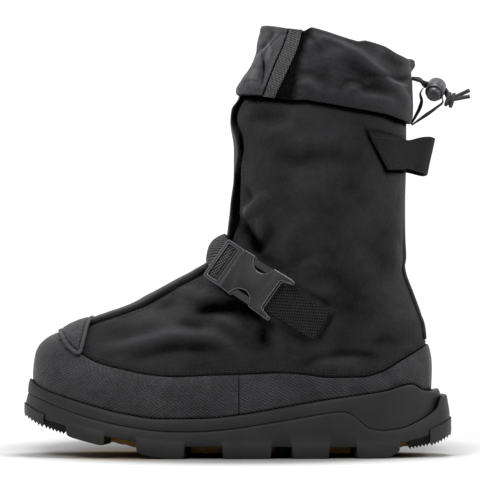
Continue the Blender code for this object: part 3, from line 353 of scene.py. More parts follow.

# Soft folds: side of the boot (-1 outer, 1 inner), height out, half width, and their line
Fold = namedtuple("Fold", "side height width line")
UPPER_FOLDS = [
    Fold(-1, -4.6, 4.6, [(-36, 109), (-18, 114), (-4, 114), (8, 110), (15, 103)]),
    Fold(-1, -2.6, 4.6, [(13, 108), (20, 98), (20, 88), (15, 78)]),
    Fold(-1, 2.8, 5.0, [(-112, 80), (-79, 85.7), (-51, 92.7), (-23, 92.7), (-9, 87), (4.5, 76), (7, 68)]),
    Fold(-1, -2.2, 4.2, [(-86, 73), (-66, 79), (-46, 83.5), (-20, 83), (-6, 78)]),
    Fold(-1, 2.4, 4.0, [(-20, 104), (-8, 103), (2, 97), (5, 90)]),
    Fold(-1, 2.0, 3.6, [(-34, 119), (-24, 122), (-14, 122.5)]),
    Fold(-1, 1.6, 4.0, [(-50, 130), (-40, 126), (-30, 124)]),
    Fold(-1, -1.5, 4.0, [(-62, 111), (-55, 115), (-47, 118)]),
    Fold(-1, -1.7, 3.6, [(-46, 103), (-36, 100), (-24, 98)]),
    Fold(-1, 1.4, 5.0, [(-84, 97), (-66, 103), (-52, 108)]),
    Fold(-1, -1.3, 5.0, [(-98, 85), (-76, 95), (-58, 100)]),
    Fold(-1, -3.9, 4.2, [(0, 184), (5, 172), (11, 163), (18, 152)]),
    Fold(-1, -2.4, 4.4, [(26, 176), (22, 166), (18, 156)]),
    Fold(-1, 2.2, 2.6, [(15, 194), (10, 187), (6, 181)]),
    Fold(-1, 1.6, 2.4, [(16.5, 182), (16.5, 172), (17, 163)]),
    Fold(-1, 0.9, 5.0, [(26, 152), (34, 162), (46, 176), (62, 182)]),
    Fold(-1, -1.0, 5.0, [(32, 142), (44, 149), (56, 153)]),
    Fold(-1, 0.9, 4.0, [(44, 140), (56, 146), (70, 147)]),
    Fold(-1, -0.9, 4.0, [(50, 132), (64, 137), (80, 136)]),
    Fold(-1, -1.8, 3.2, [(45, 67), (62, 75.5), (81, 78.5), (100, 77), (109, 71)]),
    Fold(-1, 1.3, 5.0, [(55, 69), (78, 71), (100, 69)]),
    Fold(-1, -1.2, 3.2, [(97, 84), (113, 89), (121, 82)]),
    Fold(-1, 1.4, 4.0, [(24, 98), (30, 86), (34, 74)]),
    Fold(-1, -1.4, 5.5, [(9, 257), (22, 255), (38, 258)]),
    Fold(-1, 1.4, 5.0, [(12, 247), (28, 246), (44, 250)]),
    Fold(-1, -1.8, 6.5, [(26, 227), (46, 222), (68, 221)]),
    Fold(-1, 2.2, 4.0, [(22, 200), (12, 190), (3, 181)]),
    Fold(-1, -2.0, 3.0, [(5, 206), (9, 197), (13, 186)]),
    Fold(-1, -1.4, 7.0, [(47, 231), (70, 226), (95, 223)]),
    Fold(-1, -1.2, 6.0, [(80, 208), (90, 198), (99, 190)]),
    Fold(-1, 0.7, 6.0, [(50, 208), (66, 200), (80, 186)]),
    Fold(-1, 1.2, 4.5, [(117, 160), (121, 150), (124, 140)]),
    Fold(-1, -0.7, 5.0, [(92, 166), (104, 154), (112, 140)]),
    Fold(-1, -1.0, 6.0, [(60, 120), (80, 112), (104, 108)]),
    Fold(-1, 1.2, 7.0, [(20, 240), (50, 238), (90, 244)]),
    Fold(1, -3.4, 4.0, [(-30, 112), (-8, 112), (14, 103)]),
    Fold(1, 2.2, 6.0, [(-108, 82), (-70, 89), (-34, 92), (4, 84)]),
    Fold(1, -2.0, 5.0, [(-90, 72), (-60, 77), (-20, 77)]),
    Fold(1, -2.8, 4.0, [(6, 184), (14, 170), (24, 158)]),
    Fold(1, 1.6, 5.0, [(22, 186), (36, 172), (56, 166)]),
    Fold(1, -1.6, 5.0, [(40, 168), (60, 158), (86, 160)]),
    Fold(1, -1.4, 3.6, [(44, 69), (66, 78), (92, 78), (108, 71)]),
    Fold(1, -1.1, 7.0, [(24, 232), (56, 224), (96, 228)]),
    Fold(1, 1.0, 6.0, [(30, 214), (60, 206), (92, 210)]),
    Fold(1, -1.0, 5.0, [(96, 190), (104, 172), (110, 150)]),
]
# Painted soft shadows on the upper, and a few painted lighter patches: the same rows, with a change of tone
# for the height
UPPER_SHADES = [
    Fold(-1, -0.30, 5.0, [(-14, 128), (4, 116), (22, 104)]),
    Fold(-1, -0.30, 4.5, [(6, 163), (20, 153), (40, 138)]),
    Fold(-1, -0.25, 3.0, [(26, 104), (42, 94), (58, 85)]),
    Fold(-1, -0.9, 1.5, [(95, 248), (97.2, 244), (104, 231.5), (111.3, 217.5), (114, 212)]),
    Fold(-1, -0.7, 1.8, [(108, 216.5), (114, 215.0), (122, 215.2), (131, 215.4)]),
    Fold(-1, -0.3, 1.4, [(92, 246.5), (100, 246), (112, 243.8), (120, 241.6), (130, 239.6)]),
    Fold(-1, -0.3, 1.8, [(36, 134), (52, 125), (73, 113)]),
    Fold(-1, -0.35, 1.8, [(74, 112), (67, 100), (59, 86)]),
    Fold(-1, -0.15, 9.0, [(100, 180), (112, 160), (114, 130)]),
    Fold(-1, -0.2, 13.0, [(60, 160), (80, 130), (100, 100)]),
    Fold(-1, 0.14, 12.0, [(40, 205), (60, 215), (82, 212)]),
    Fold(-1, 0.12, 10.0, [(30, 255), (50, 258), (80, 250)]),
    Fold(-1, 0.16, 8.0, [(-90, 88), (-60, 98), (-36, 110)]),
]
CUFF_FOLDS = [
    Fold(-1, 2.6, 3.8, [
        (54, 318), (68, 315), (88, 304), (99, 295), (112, 283), (119, 278), (124, 270), (128, 261),
    ]),
    Fold(-1, -1.6, 6.0, [(76, 297), (90, 289), (103, 280), (114, 271)]),
    Fold(-1, -1.9, 2.2, [(94, 289), (108, 286), (118, 283.7), (130, 287)]),
    Fold(-1, 1.8, 2.2, [(108, 287), (114.2, 280.5), (120, 273), (126, 264)]),
    Fold(-1, 1.3, 2.2, [(104, 279), (114, 281), (126, 278)]),
    Fold(-1, -1.0, 1.8, [(76, 274), (80.8, 282), (88, 282), (96, 277)]),
    Fold(-1, 0.9, 1.8, [(79, 270), (86, 277), (92, 272)]),
    Fold(-1, -1.0, 2.0, [(52, 319), (58, 311), (66, 300)]),
    Fold(-1, -0.8, 1.6, [(38, 274), (42, 279), (48, 284)]),
    Fold(-1, 1.3, 4.0, [(50, 304), (56, 310), (64, 311)]),
    Fold(-1, 0.8, 4.0, [(64, 298), (76, 303), (86, 303)]),
    Fold(-1, 1.4, 3.5, [(42, 279), (53, 280.5), (60, 275), (63, 270)]),
    Fold(-1, -1.0, 3.2, [(45, 287), (56, 287), (65, 279)]),
    Fold(-1, 1.4, 3.5, [(84, 266), (94, 270), (107, 270.5), (116, 265)]),
    Fold(-1, -1.3, 3.0, [(86, 275), (100, 277), (112, 272)]),
    Fold(-1, -0.9, 4.0, [(64, 294), (66, 284), (70, 275)]),
    Fold(-1, 1.2, 5.0, [(100, 312), (112, 307), (122, 302)]),
    Fold(-1, -1.2, 4.0, [(106, 302), (116, 297), (126, 293)]),
    Fold(1, 2.2, 4.0, [(58, 316), (80, 306), (100, 294), (118, 280), (127, 268)]),
    Fold(1, -1.8, 4.5, [(68, 300), (88, 290), (106, 279)]),
    Fold(1, -2.0, 3.2, [(98, 296), (114, 290), (128, 287)]),
    Fold(1, 1.2, 4.0, [(40, 282), (54, 278), (68, 272)]),
    Fold(1, -1.2, 4.0, [(36, 294), (54, 292), (70, 284)]),
    Fold(1, 1.2, 4.0, [(82, 266), (98, 270), (114, 264)]),
]
TAB_FOLDS = [
    Fold(-1, 1.3, 2.4, [(14, 301), (22, 307), (33, 320)]),
    Fold(-1, -1.2, 2.2, [(12, 306), (20, 311), (28, 321)]),
    Fold(-1, -1.1, 2.4, [(18, 279), (17, 288), (21, 300)]),
    Fold(-1, 1.0, 2.4, [(11, 279), (12, 287), (15, 296)]),
    Fold(-1, -1.0, 2.0, [(5, 290), (10, 294), (17, 293)]),
    Fold(-1, 0.9, 2.2, [(25, 288), (29, 298), (34, 308)]),
    Fold(1, 1.2, 3.0, [(14, 300), (24, 306), (36, 318)]),
    Fold(1, -1.2, 3.0, [(8, 288), (20, 296), (34, 304)]),
    Fold(1, 1.0, 3.0, [(10, 282), (22, 284), (34, 292)]),
]
# Painted soft shadows on the tab, and one lighter line, a painted highlight
TAB_SHADES = [
    Fold(-1, -0.6, 0.9, [(18.3, 301.6), (26, 311.5), (33.7, 320.1)]),
    Fold(-1, -0.4, 0.9, [(18.3, 312), (18.6, 302), (19.5, 290), (17, 278)]),
    Fold(-1, -0.4, 0.9, [(8, 300), (12, 305), (19, 306)]),
    Fold(-1, -0.35, 0.8, [(2, 283), (8, 284), (16, 283)]),
    Fold(-1, 0.4, 1.2, [(21, 316), (24, 308), (21, 298)]),
]

# Lumps and mottling of the cloth: how strong, how large, and the seed of each layer
Lump = namedtuple("Lump", "height size seed")
UPPER_LUMPS = [Lump(0.45, 24, 1), Lump(0.24, 10, 2), Lump(0.12, 4.5, 3)]
UPPER_MOTTLE = [Lump(0.06, 16, 51), Lump(0.06, 6, 52)]
GUSSET_LUMPS = [Lump(0.3, 12, 5), Lump(0.25, 5, 6)]
RAND_LUMPS = [Lump(0.35, 30, 11), Lump(0.18, 9, 12)]
RAND_MOTTLE = [Lump(0.10, 22, 58), Lump(0.10, 8, 59)]
CUFF_LUMPS = [Lump(0.6, 20, 21), Lump(0.3, 9, 22), Lump(0.1, 4, 23)]
CUFF_MOTTLE = [Lump(0.09, 15, 55), Lump(0.06, 6, 56)]
TAB_LUMPS = [Lump(0.35, 7, 31), Lump(0.15, 3.2, 32)]

# The cuff's cloth: level and distance out from the wall, up the outside, over the top, down inside
CuffRow = namedtuple("CuffRow", "level out")
CUFF_OUTSIDE = [
    CuffRow(CUFF_LOW, 2.6), CuffRow(272, 4.2), CuffRow(285, 4.0), CuffRow(302, 3.0), CuffRow(311.5, 1.9),
    CuffRow(CUFF_TOP, 0.9),
]
CUFF_TURNED = [CuffRow(318.7, -0.9), CuffRow(317.9, -2.5), CuffRow(316.0, -3.3), CuffRow(305.5, -3.4)]
CUFF_UNDER = [
    CuffRow(305.5, -2.3), CuffRow(313.5, -2.25), CuffRow(316.2, -1.0), CuffRow(313.5, 0.2), CuffRow(302, 0.6),
    CuffRow(285, 0.9), CuffRow(272, 1.0), CuffRow(CUFF_LOW + 0.4, 1.2),
]

# The cuff's rolled hem: how far above the lower edge, and how far sunk
HemRow = namedtuple("HemRow", "rise sunk")
CUFF_HEM = [HemRow(0.0, -1.0), HemRow(0.25, -0.4), HemRow(0.8, -0.1)]
HEM_ROLL = 1.8

# How far the collar's top edge waves up or down along the boot
Wave = namedtuple("Wave", "x rise")
COLLAR_WAVE = [
    Wave(10, -7.0), Wave(18.5, -5.6), Wave(23, -3.8), Wave(27.6, -2.6), Wave(36.3, -2.5), Wave(49, -1.7),
    Wave(56.1, 2.4), Wave(64.7, 2.0), Wave(77, 0.8), Wave(89.5, 0.0), Wave(96.9, 2.0), Wave(109.3, 1.5),
    Wave(121.6, -1.7), Wave(131, -2.6),
]

# How far the cuff's hem waves, and how the cuff leans out or in at the very front
HEM_WAVE = [
    Wave(-6, -4.4), Wave(5, -4.2), Wave(25, -2.6), Wave(38, -2.4), Wave(54, 0), Wave(108, 0), Wave(119, -1.4),
    Wave(129, -3.4),
]
FRONT_LEAN = [
    CuffRow(260, -3.0), CuffRow(285, -3.4), CuffRow(295, -1.5), CuffRow(304, 1.8), CuffRow(317, 4.2),
]
FRONT_SPAN = 0.06
FLAP_TURN = 0.52
FLAP_SPAN = 0.02
FLAP_REACH = 5.0

# Side lines of the front tab, its hook strip and the loop patch, from the hem up
TAB_REAR = [Spot(22.0, 266), Spot(25.5, 276), Spot(33.5, 294), Spot(41, 311), Spot(46.5, 328)]
HOOK_FRONT = [Spot(17.6, 266), Spot(21.4, 276.2), Spot(28.8, 295.4), Spot(36.2, 312.7), Spot(40.6, 328)]
HOOK_REAR = [Spot(25.6, 266), Spot(28.8, 272.5), Spot(37.5, 290.4), Spot(44.9, 307.7), Spot(50.3, 328)]
LOOP_FRONT = [Spot(24.0, 266), Spot(27.0, 272.5), Spot(35.5, 290.4), Spot(42.8, 307.7), Spot(49.0, 320)]
LOOP_REAR = [Spot(38.4, 266), Spot(39.3, 271.3), Spot(43.6, 294.1), Spot(47.3, 307.7), Spot(51.0, 320)]

# The instep strap runs in a plane that slopes down to the back
STRAP_SLOPE = math.radians(31.7)
STRAP_MIDDLE = Spot(9.0, 137.5)
ALONG = Vector((math.cos(STRAP_SLOPE), 0, -math.sin(STRAP_SLOPE)))
ACROSS = Vector((math.sin(STRAP_SLOPE), 0, math.cos(STRAP_SLOPE)))
STRAP_RISE = 4.8
STRAP_FAR_TURN = -0.27
STRAP_NEAR_Y = -25.5
STRAP_BOW = 4.5
GUSSET_THICK = 2.0
ANCHOR_START = 21.0
ANCHOR_LIFT = 3.0
ANCHOR_END = 66.0
ANCHOR_DROP = 4.3

# Side-release buckle: its place, its sizes, the bite in the socket's sides and the ribs on the arms
BUCKLE_MIDDLE = Vector((10.0, -40.0, 132.4))
BUCKLE_YAW = math.radians(22)
BUCKLE_CLEAR = 0.5
BUCKLE_WIDTH = 34.5
BUCKLE_HEIGHT = 7.0
BUCKLE_LENGTH = 62.0
LATCH_LENGTH = 16.0
PRONG_HEIGHT = 3.0
PRONG_LENGTH = 21.0
CORE_WIDTH = 18.0
BITE_AT = 19.0
BITE_HALF = 9.0
BITE_DEPTH = 8.6
RIB_COUNT = 5
RIB_STEP = 2.4
RIM_ANGLE = 14

# Pull loop of webbing behind the shaft, by its lower and upper edge
LoopEdge = namedtuple("LoopEdge", "level start reach drop cup")
LOOP_LOW = LoopEdge(216.4, 112.5, 144.5, 2.6, 2.4)
LOOP_HIGH = LoopEdge(243.0, 98.0, 150.5, 1.0, -3.4)
LOOP_CUP_AT = 128.0
LOOP_CUP_REACH = 9.0
LOOP_THICK = 1.6
LOOP_LEAVES = 117.0
LOOP_CLEAR = 1.1
LOOP_SAG = 2.4

# Bend of the loop's free end: how far short of its reach, and how far to the side
LOOP_BEND = [(9.5, -14.5), (2.5, -7.0), (0.0, 0.0)]

# Drawcord, cord lock and knot behind the cuff
CORD = 3.0
CORD_EXIT = Vector((132.9, 0, 286.5))
LOCK_MIDDLE = Vector((150.8, 0, 278.6))
LOCK_AXIS = Vector((-0.25, -0.78, -0.57)).normalized()
LOCK_RADIUS = 7.2
LOCK_LENGTH = 12.5
LOCK_BORE = 5.9
CORD_DEPTH = 4.2
BUTTON_RADIUS = 5.5
BUTTON_LENGTH = 8.4
BUTTON_SHOWS = 3.6
BUTTON_TRAVEL = 3.0
KNOT_MIDDLE = Vector((161.8, 0, 270.2))
CORD_SPREAD = 2.1
TAIL_X = 176.5

# The two strands: side, how they bow, and how far they rise behind the knot and at their ends
Strand = namedtuple("Strand", "name nodes side bow knot_rise tail_rise")
STRANDS = [
    Strand("drawcord_near_braid", ("drawcord_near", "cord_tail_near"), -1, 0.6, 0.6, 2.6),
    Strand("drawcord_far_braid", ("drawcord_far", "cord_tail_far"), 1, 2.0, 2.4, 7.4),
]

# Wraps of cord in the knot: shift along the strands, lean and reach
Wrap = namedtuple("Wrap", "shift lean reach")
KNOT_WRAPS = [Wrap(-2.0, 0.10, 4.3), Wrap(1.5, 0.02, 4.5), Wrap(0.0, 0.9, 3.2)]
KNOT_TILT = math.radians(16)

# Ribbon that holds the lock: from the cuff's hem, behind the lock and back, and its twist by step
TETHER_WIDTH = 5.0
TETHER_THICK = 0.7
TETHER_ROUTE = [
    (131.8, -1.0, 251.8), (135.0, -0.5, 257.2), (139.0, 0.5, 265.4), (140.0, 1.6, 269.6),
    (139.0, 3.0, 274.4), (143.3, 8.5, 280.1), (150.3, 11.5, 278.6), (155.8, 9.5, 274.6),
    (156.3, 4.5, 269.1), (150.8, 2.4, 264.0), (141.8, 2.0, 257.6), (132.4, 2.2, 251.0),
]
Twist = namedtuple("Twist", "step degrees")
TETHER_TWIST = [Twist(0, 80), Twist(12, 60), Twist(24, 88), Twist(40, 84), Twist(58, 62), Twist(69, 84)]

# Stitches: length, gap and radius, and the thickness of each at shares of its length
STITCH_LENGTH = 2.4
STITCH_GAP = 0.8
STITCH_RADIUS = 0.28
STITCH_SIDES = 6
SEAM_STEPS = 60
StitchRing = namedtuple("StitchRing", "share size")
STITCH_RINGS = [StitchRing(0.0, 0.25), StitchRing(0.25, 1.0), StitchRing(0.75, 1.0), StitchRing(1.0, 0.25)]


def smooth(keys, values):
    """Return a smooth curve through table values that never overshoots them."""
    keys = np.array(keys, float)
    values = np.array(values, float)
    steps = np.diff(keys)
    slopes = np.diff(values) / steps
    tangents = np.zeros_like(values)
    tangents[0], tangents[-1] = slopes[0], slopes[-1]
    for i in range(1, len(keys) - 1):
        if slopes[i - 1] * slopes[i] > 0:
            before = 2 * steps[i] + steps[i - 1]
            after = steps[i] + 2 * steps[i - 1]
            tangents[i] = (before + after) / (before / slopes[i - 1] + after / slopes[i])

    def curve(at):
        at = np.asarray(at, float)
        i = np.clip(np.searchsorted(keys, at, side="right") - 1, 0, len(steps) - 1)
        t = np.clip((at - keys[i]) / steps[i], 0, 1)
        return (
            (1 + 2 * t) * (1 - t) ** 2 * values[i]
            + t * (1 - t) ** 2 * steps[i] * tangents[i]
            + t * t * (3 - 2 * t) * values[i + 1]
            + t * t * (t - 1) * steps[i] * tangents[i + 1]
        )

    return curve


def columns(rows, key):
    """Turn a table into one smooth curve for each named column."""
    keys = [getattr(row, key) for row in rows]
    names = [name for name in rows[0]._fields if name != key]
    return {name: smooth(keys, [getattr(row, name) for row in rows]) for name in names}


SOLE = columns(SOLE_PROFILE, "x")
FEATHER = columns(FEATHER_LINE, "x")
UPPER = columns(UPPER_SECTIONS, "level")
RAND_LINE = columns(RAND_TOP, "x")["z"]
PATCH_LINE = columns(PATCH_LOW, "x")["z"]
PATCH_BACK = columns(PATCH_REAR, "z")["x"]
PANEL = columns(PANEL_EDGES, "level")
RIDGE = columns(GUSSET_RIDGE, "level")
CUFF_OUT = columns(CUFF_OUTSIDE, "level")["out"]
COLLAR_RISE = columns(COLLAR_WAVE, "x")["rise"]
HEM_RISE = columns(HEM_WAVE, "x")["rise"]
CUFF_LEAN = columns(FRONT_LEAN, "level")["out"]


def ease(value, low, high):
    """Smooth step from 0 at low to 1 at high."""
    t = np.clip((np.asarray(value, float) - low) / (high - low), 0, 1)
    return t * t * (3 - 2 * t)


def bell(value, middle, span):
    """1 at the middle, falling smoothly to nothing about two spans away."""
    return np.exp(-(((value - middle) / span) ** 2))


def unit(rows):
    """Vectors made one long."""
    return rows / np.linalg.norm(rows, axis=-1, keepdims=True)


def arc_lengths(points):
    """Distance along a route at each of its points."""
    return np.concatenate([[0], np.cumsum(np.linalg.norm(np.diff(points, axis=0), axis=1))])


def along_route(at, lengths, rows):
    """Rows that belong to a route's points, read off at distances along it."""
    return np.stack([np.interp(at, lengths, rows[:, k]) for k in range(3)], axis=-1)


def toe_swing(x):
    """Sideways curve of the last, toward the inner side at the toe."""
    return TOE_SWING * (np.clip(SWING_START - x, 0, None) / (HALF_SOLE + SWING_START)) ** 2


def outline(shape, turn):
    """Plan outline of one section: turn 0 is the toe, a quarter is the outer side, a half the heel."""
    angle = 2 * math.pi * np.asarray(turn, float)
    along, across = np.cos(angle), np.sin(angle)
    ahead = along >= 0
    power = np.where(ahead, 2 / shape.nose, 2 / shape.heel)
    reach = np.where(ahead, shape.widest - shape.front, shape.back - shape.widest)
    x = shape.widest - np.sign(along) * reach * np.abs(along) ** power
    half = shape.half * np.abs(across) ** power
    outer = across >= 0
    arch = bell(x, WAIST_X, WAIST_SPAN)
    pinch = shape.waist * np.where(outer, OUTER_PINCH, INNER_PINCH)
    y = np.where(outer, -1, 1) * half * (1 - pinch * arch) + toe_swing(x)
    return x, y


def section_at(level):
    """Section of the upper at any level, from the table's smooth columns."""
    values = {name: curve(level) for name, curve in UPPER.items()}
    return Section(level=np.asarray(level, float), **values)


def wall_point(turn, level):
    """Point on the outer face of the upper's wall."""
    shape = section_at(level)
    x, y = outline(shape, turn)
    z = shape.level + shape.follow * (FEATHER["seat"](x) - FEATHER_LOW)
    z = z + shape.tilt * (x - TILT_X) + COLLAR_RISE(x) * ease(level, *COLLAR_ZONE)
    z = z + HEM_RISE(x) * bell(shape.level, CUFF_LOW, HEM_SPAN)
    return np.stack(np.broadcast_arrays(x, y, z), axis=-1)


def wall(turn, level, out=0.0):
    """Point at a distance out from the upper's wall, along its own normal."""
    turn, level = np.broadcast_arrays(np.asarray(turn, float), np.asarray(level, float))
    round_step, up_step = 0.002, 0.4
    sideways = wall_point(turn + round_step, level) - wall_point(turn - round_step, level)
    upward = wall_point(turn, level + up_step) - wall_point(turn, level - up_step)
    normal = unit(np.cross(sideways, upward))
    out = np.broadcast_to(np.asarray(out, float), turn.shape)
    return wall_point(turn, level) + normal * out[..., None]


def halving(passed, low, high):
    """Value between low and high where a test first passes, found by halving."""
    low, high = np.array(low, float), np.array(high, float)
    for _ in range(HALVINGS):
        middle = (low + high) / 2
        past = passed(middle)
        high = np.where(past, middle, high)
        low = np.where(past, low, middle)
    return (low + high) / 2


def level_at(turn, gauge, low, high):
    """Level at each turn where a gauge of the side view's x and z turns positive."""

    def passed(level):
        spot = wall_point(turn, level)
        return gauge(spot[..., 0], spot[..., 2]) > 0

    return halving(passed, np.full(np.shape(turn), low), np.full(np.shape(turn), high))


def turn_at(level, gauge, low, high):
    """Turn at each level where a gauge of the side view's x and z turns positive."""

    def passed(turn):
        spot = wall_point(turn, level)
        return gauge(spot[..., 0], spot[..., 2]) > 0

    return halving(passed, np.full(np.shape(level), low), np.full(np.shape(level), high))


def front_turn(lateral, level):
    """Turn at a distance to the side of the front's middle line."""
    shape = section_at(level)
    share = np.clip(np.abs(lateral) / shape.half, 0, 0.999) ** (shape.nose / 2)
    return -np.sign(lateral) * np.arcsin(share) / (2 * math.pi)


def back_turn(lateral, level):
    """Turn at a distance to the side of the back's middle line."""
    shape = section_at(level)
    share = np.clip(np.abs(lateral) / shape.half, 0, 0.999) ** (shape.heel / 2)
    return 0.5 + np.sign(lateral) * np.arcsin(share) / (2 * math.pi)


def cloth_noise(points, size, seed):
    """Smooth lumps from -1 to 1, about size across, the same on every run."""
    cell = np.asarray(points, float) / size
    base = np.floor(cell).astype(np.int64)
    part = cell - base
    part = part * part * (3 - 2 * part)
    total = np.zeros(cell.shape[:-1])
    for corner in np.ndindex(2, 2, 2):
        spot = base + corner
        mixed = spot[..., 0] * 73856093 ^ spot[..., 1] * 19349663 ^ spot[..., 2] * 83492791
        mixed = (mixed + seed * 7919) * 1103515245 + 12345
        value = ((mixed >> 9) & 65535) / 32767.5 - 1
        share = np.prod(np.where(corner, part, 1 - part), axis=-1)
        total += share * value
    return total


def lumps(points, layers):
    """Several layers of cloth noise together."""
    return sum(layer.height * cloth_noise(points, layer.size, layer.seed) for layer in layers)


def smooth_route(spots, count):
    """Points spaced along a smooth curve through a few spots."""
    spots = np.array(spots, float)
    lengths = arc_lengths(spots)
    at = np.linspace(0, lengths[-1], count)
    return np.stack([smooth(lengths, spots[:, k])(at) for k in range(spots.shape[1])], axis=-1)


def side_share(points, side):
    """1 on one side of the boot, falling to 0 toward its middle."""
    across = (points[..., 1] - toe_swing(points[..., 0])) * side
    return ease(across, 4, 15)


def fold_height(points, folds):
    """How far the listed folds push the cloth out at each point."""
    height = np.zeros(points.shape[:-1])
    flat = points[..., [0, 2]]
    for fold in folds:
        line = smooth_route(fold.line, FOLD_STEPS + 1)
        best = np.full(height.shape, np.inf)
        place = np.zeros(height.shape)
        for k, (start, end) in enumerate(zip(line[:-1], line[1:])):
            way = end - start
            t = np.clip((flat - start) @ way / (way @ way), 0, 1)
            away = np.linalg.norm(flat - start - t[..., None] * way, axis=-1)
            nearer = away < best
            best = np.where(nearer, away, best)
            place = np.where(nearer, (k + t) / FOLD_STEPS, place)
        fade = 1 - np.abs(2 * place - 1) ** 3
        height += fold.height * fade * bell(best, 0, fold.width) * side_share(points, fold.side)
    return height


def strap_place(points):
    """Distance along and across the strap's slope, in the side view."""
    away = points - np.array([STRAP_MIDDLE.x, 0, STRAP_MIDDLE.z])
    return away @ np.array(ALONG), away @ np.array(ACROSS)


def upper_relief(points):
    """Folds and lumps of the upper's cloth, flat where something lies on it."""
    height = fold_height(points, UPPER_FOLDS) + lumps(points, UPPER_LUMPS)
    along, across = strap_place(points)
    drop = ANCHOR_DROP * ease(along, *ANCHOR_BEND)
    near_strap = 1 - ease(np.abs(across + drop), *STRAP_PRESS)
    near_strap = near_strap * (1 - ease(along, ANCHOR_END, ANCHOR_END + 8)) * side_share(points, -1)
    far_strap = (1 - ease(np.abs(across - STRAP_RISE), *STRAP_PRESS)) * side_share(points, 1)
    x, z = points[..., 0], points[..., 2]
    loop = ease(x, *LOOP_PRESS_FRONT) * ease(z, *LOOP_PRESS_LOW) * (1 - ease(z, *LOOP_PRESS_HIGH))
    tape = ease(x, 104, 114) * (1 - ease(np.abs(points[..., 1]), TAPE_HALF, TAPE_HALF + 3))
    rand = 1 - ease(z - RAND_LINE(x), 1.0, 6.0)
    cuff = ease(z - UPPER["tilt"](CUFF_LOW) * (x - TILT_X), CUFF_LOW - 3, CUFF_LOW + 3)
    pressed = np.clip(np.maximum.reduce([near_strap, far_strap, loop, tape, rand, cuff]), 0, 1)
    return height * (1 - pressed) - 0.15 * pressed


def upper_tone(points, relief, level):
    """How light the upper's cloth is: painted shade in creases and under the cuff's hem, and a painted
    highlight on ridges.
    """
    x, z = points[..., 0], points[..., 2]
    tone = 0.5 + relief / 8 + fold_height(points, UPPER_SHADES) + lumps(points, UPPER_MOTTLE)
    # Painted shade, darker toward the bottom
    tone -= 0.10 * (1 - ease(z, 78, 118))
    # Painted shadow along the rand's top edge
    tone = tone * ease(z - RAND_LINE(x), 0.3, 2.0)
    # Painted shadow under the cuff's hem, along a wavy line
    wave = 1.2 * cloth_noise(points, 17, 53)
    return tone * (1 - ease(level + wave, CUFF_LOW - 5.5, CUFF_LOW - 2.5))


def link(thing):
    """Put an object in the scene."""
    bpy.context.scene.collection.objects.link(thing)
    return thing


def shade(mesh, angle=None):
    """Smooth shading, with sharp edges past an angle where one is given."""
    mesh.polygons.foreach_set("use_smooth", np.ones(len(mesh.polygons), bool))
    if angle:
        mesh.set_sharp_from_angle(angle=math.radians(angle))
    mesh.update()


def map_cloth(mesh, corners):
    """Cloth map in millimetres, so that weave and grain follow the surface."""
    layer = mesh.uv_layers.new(name="cloth")
    layer.data.foreach_set("uv", np.asarray(corners, np.float32).ravel())


def grid_lengths(grid):
    """Distance round and up a grid at each of its points."""
    around = np.linalg.norm(np.diff(grid, axis=1), axis=-1)
    around = np.concatenate([np.zeros((len(grid), 1)), np.cumsum(around, axis=1)], axis=1)
    around -= around[:, around.shape[1] // 2 : around.shape[1] // 2 + 1]
    up = np.linalg.norm(np.diff(grid, axis=0), axis=-1)
    up = np.concatenate([np.zeros((1, grid.shape[1])), np.cumsum(up, axis=0)], axis=0)
    return np.stack([around, up], axis=-1)


def quads_of(index):
    """Quads of an index grid."""
    parts = [index[:-1, :-1], index[:-1, 1:], index[1:, 1:], index[1:, :-1]]
    return np.stack(parts, axis=-1).reshape(-1, 4)


def quad_corners(lengths):
    """The cloth map's corners for the quads of a grid, in the same order."""
    parts = [lengths[:-1, :-1], lengths[:-1, 1:], lengths[1:, 1:], lengths[1:, :-1]]
    return np.stack(parts, axis=-2).reshape(-1, 4, 2)


def mesh_object(name, points, faces, material, angle=None):
    """Mesh object from points in millimetres, smooth up to an angle where one is given."""
    mesh = bpy.data.meshes.new(name)
    mesh.from_pydata((np.asarray(points) * MM).tolist(), [], faces)
    shade(mesh, angle)
    mesh.materials.append(material)
    return link(bpy.data.objects.new(name, mesh))


def cloth_object(name, points, faces, corners, material, tone=None):
    """Mesh object with a cloth map; tone says how light the cloth is at each point, painted light and shade
    included.
    """
    made = mesh_object(name, points, faces.tolist(), material)
    map_cloth(made.data, corners)
    if tone is None:
        tone = np.full(len(points), 0.5)
    layer = made.data.attributes.new("tone", "FLOAT", "POINT")
    layer.data.foreach_set("value", np.clip(tone, 0, 1).astype(np.float32).ravel())
    return made


def closed(grid, axis=1):
    """A grid whose first column, or row, comes again after its last."""
    return np.concatenate([grid, grid.take([0], axis=axis)], axis=axis)


def ring_solid(name, grid, material, tone=None):
    """Closed wall from a grid that runs round the boot, its rows going up outside and down inside."""
    rows, cols = grid.shape[:2]
    index = np.arange(rows * cols).reshape(rows, cols)
    faces = quads_of(closed(closed(index), axis=0))
    corners = quad_corners(grid_lengths(closed(closed(grid), axis=0)))
    return cloth_object(name, grid.reshape(-1, 3), faces, corners, material, tone)


def sheet_solid(name, inside, outside, material, tone=None):
    """Closed sheet between two grids of the same size; tone is for the outside grid."""
    rows, cols = outside.shape[:2]
    size = rows * cols
    outer = np.arange(size).reshape(rows, cols)
    inner = outer + size
    lengths = grid_lengths(outside)
    faces = [quads_of(outer), quads_of(inner)[:, ::-1]]
    corners = [quad_corners(lengths), quad_corners(lengths)[:, ::-1]]
    rim = np.concatenate([outer[0], outer[1:, -1], outer[-1, -2::-1], outer[-2:0:-1, 0]])
    rim_map = np.concatenate([lengths[0], lengths[1:, -1], lengths[-1, -2::-1], lengths[-2:0:-1, 0]])
    after, after_map = np.roll(rim, -1), np.roll(rim_map, -1, axis=0)
    faces.append(np.stack([rim, rim + size, after + size, after], axis=-1))
    corners.append(np.stack([rim_map, rim_map, after_map, after_map], axis=1))
    points = np.concatenate([outside.reshape(-1, 3), inside.reshape(-1, 3)])
    if tone is not None:
        tone = np.concatenate([tone.ravel(), tone.ravel()])
    return cloth_object(name, points, np.concatenate(faces), np.concatenate(corners), material, tone)


